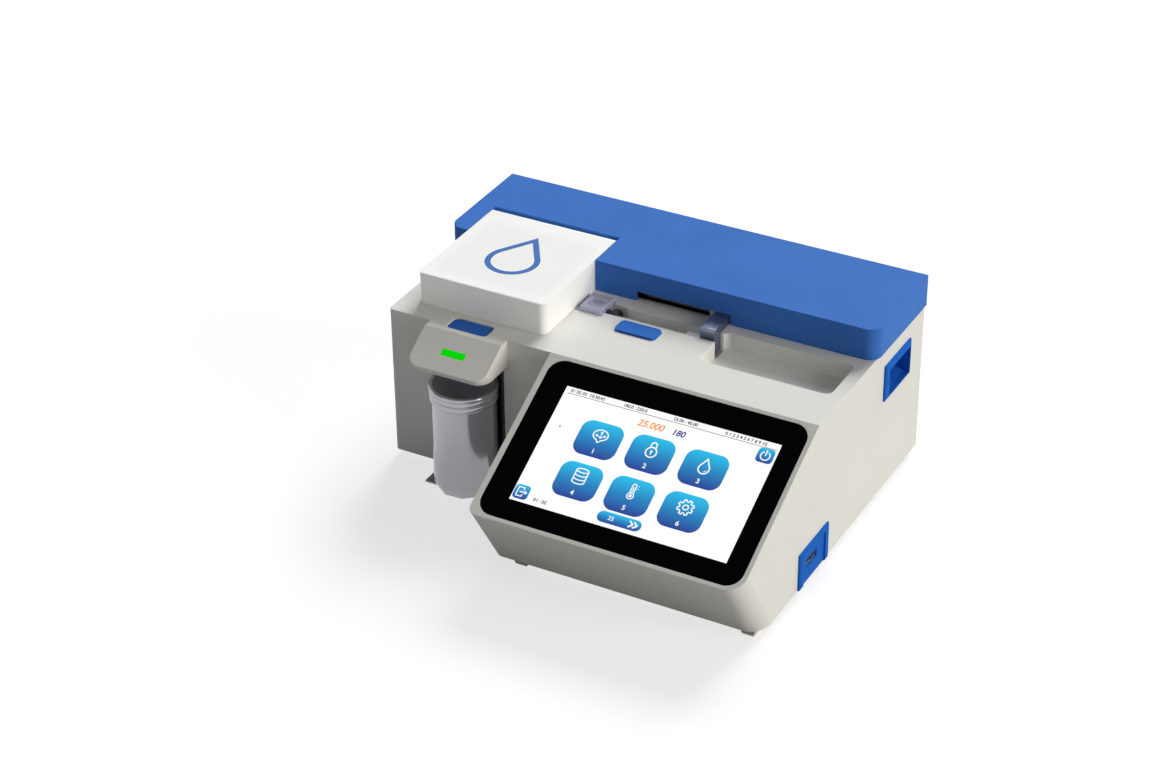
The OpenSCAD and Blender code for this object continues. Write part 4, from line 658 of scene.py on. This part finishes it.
def coil(name, material, foot, height, radius, wire, turns, per_turn=20, sides=8):
    """A helical spring that stands on the foot, as one tube, in millimetres."""
    rings = turns * per_turn
    points = []
    for i in range(rings + 1):
        turn = math.tau * i / per_turn
        rise = wire + (height - 2 * wire) * i / rings
        for s in range(sides):
            around = math.tau * s / sides
            reach = radius + wire * math.cos(around)
            height_here = rise + wire * math.sin(around)
            points.append((reach * math.cos(turn), reach * math.sin(turn), height_here))
    faces = [list(range(sides))[::-1], [rings * sides + s for s in range(sides)]]
    for i in range(rings):
        for s in range(sides):
            n = (s + 1) % sides
            faces.append([i * sides + s, i * sides + n, (i + 1) * sides + n, (i + 1) * sides + s])
    mesh = bpy.data.meshes.new(name)
    mesh.from_pydata([foot + Vector(p) * MM for p in points], [], faces)
    work = bmesh.new()
    work.from_mesh(mesh)
    bmesh.ops.recalc_face_normals(work, faces=work.faces)
    work.to_mesh(mesh)
    work.free()
    mesh.shade_smooth()
    return shown(name, mesh, "chassis", material)


# The button springs, drawn at one height here, though the real ones shorten by the button's travel
SPRING_H = 7.2
for name, x, y in (("lid_button", -97.5, -167.9), ("pipette_button", 4.0, -120.95)):
    foot = at(x, y, SPRING_Z)
    spring = coil(name + "_coil", LOOK["ground_steel"], foot, SPRING_H, 4.0, 0.4, 4)
    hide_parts(name + "_spring")
    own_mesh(spring)

# A plain drop in blue on the lid, the sign for a liquid
mark_blue = plastic("mark_blue", (0.055, 0.17, 0.50), 0.5, 0.1, 0.7, 0.008, 0.03)
x, y = LID_X, -107.0
outer = [(x, y + 31.0)] + arc(x, y - 5.0, 19.0, 19.0, 32, -212, 56)
flat_piece("lid_mark", "lid", "cover_blue", mark_blue, LID_TOP, ring(outer, 4.2), 0.0, 0.04)


# Floor, light and background
def pale(nodes, links):
    """1 for rays that look at the scene, straight or by gloss and glass, and 0 for the rest."""
    path = nodes.new("ShaderNodeLightPath")
    first = nodes.new("ShaderNodeMath")
    first.operation = "MAXIMUM"
    links.new(path.outputs["Is Camera Ray"], first.inputs[0])
    links.new(path.outputs["Is Glossy Ray"], first.inputs[1])
    second = nodes.new("ShaderNodeMath")
    second.operation = "MAXIMUM"
    links.new(first.outputs[0], second.inputs[0])
    links.new(path.outputs["Is Transmission Ray"], second.inputs[1])
    return second.outputs[0]


FLOOR = 6.0
floor_mesh = bpy.data.meshes.new("floor")
floor_mesh.from_pydata([(-FLOOR, -FLOOR, 0), (FLOOR, -FLOOR, 0), (FLOOR, FLOOR, 0), (-FLOOR, FLOOR, 0)],
                       [], [(0, 1, 2, 3)])
floor = bpy.data.objects.new("floor", floor_mesh)
floor.location.z = -0.2 * MM
bpy.context.scene.collection.objects.link(floor)
material, nodes, links, shader = blank("floor")
nodes.remove(shader)
bright = nodes.new("ShaderNodeEmission")
bright.inputs["Strength"].default_value = 0.66
shade = nodes.new("ShaderNodeBsdfDiffuse")
shade.inputs["Color"].default_value = (0.45, 0.45, 0.45, 1)
both = nodes.new("ShaderNodeAddShader")
links.new(bright.outputs[0], both.inputs[0])
links.new(shade.outputs[0], both.inputs[1])
dark = nodes.new("ShaderNodeBsdfDiffuse")
dark.inputs["Color"].default_value = (0.5, 0.5, 0.5, 1)
seen = nodes.new("ShaderNodeMixShader")
links.new(pale(nodes, links), seen.inputs["Fac"])
links.new(dark.outputs[0], seen.inputs[1])
links.new(both.outputs[0], seen.inputs[2])
links.new(seen.outputs[0], nodes["Material Output"].inputs["Surface"])
floor_mesh.materials.append(material)

world = bpy.data.worlds.new("world")
bpy.context.scene.world = world
world.use_nodes = True
nodes, links = world.node_tree.nodes, world.node_tree.links
low = nodes["Background"]
low.inputs["Color"].default_value = (1.0, 1.0, 1.0, 1)
low.inputs["Strength"].default_value = 0.17
high = nodes.new("ShaderNodeBackground")
high.inputs["Color"].default_value = (1.0, 1.0, 1.0, 1)
seen = nodes.new("ShaderNodeMixShader")
links.new(pale(nodes, links), seen.inputs["Fac"])
links.new(low.outputs[0], seen.inputs[1])
links.new(high.outputs[0], seen.inputs[2])
links.new(seen.outputs[0], nodes["World Output"].inputs["Surface"])

for name, toward, energy, color in (
    ("back_lamp", (0.0, 0.77, 0.62), 2.85, (0.975, 0.99, 1.0)),
    ("side_lamp", (0.96, 0.0, 0.27), 1.88, (1.0, 0.965, 0.88)),
):
    light = bpy.data.lights.new(name, "SUN")
    light.energy = energy
    light.angle = math.radians(35)
    light.color = color
    lamp = bpy.data.objects.new(name, light)
    lamp.rotation_euler = Vector(toward).to_track_quat("Z", "Y").to_euler()
    bpy.context.scene.collection.objects.link(lamp)
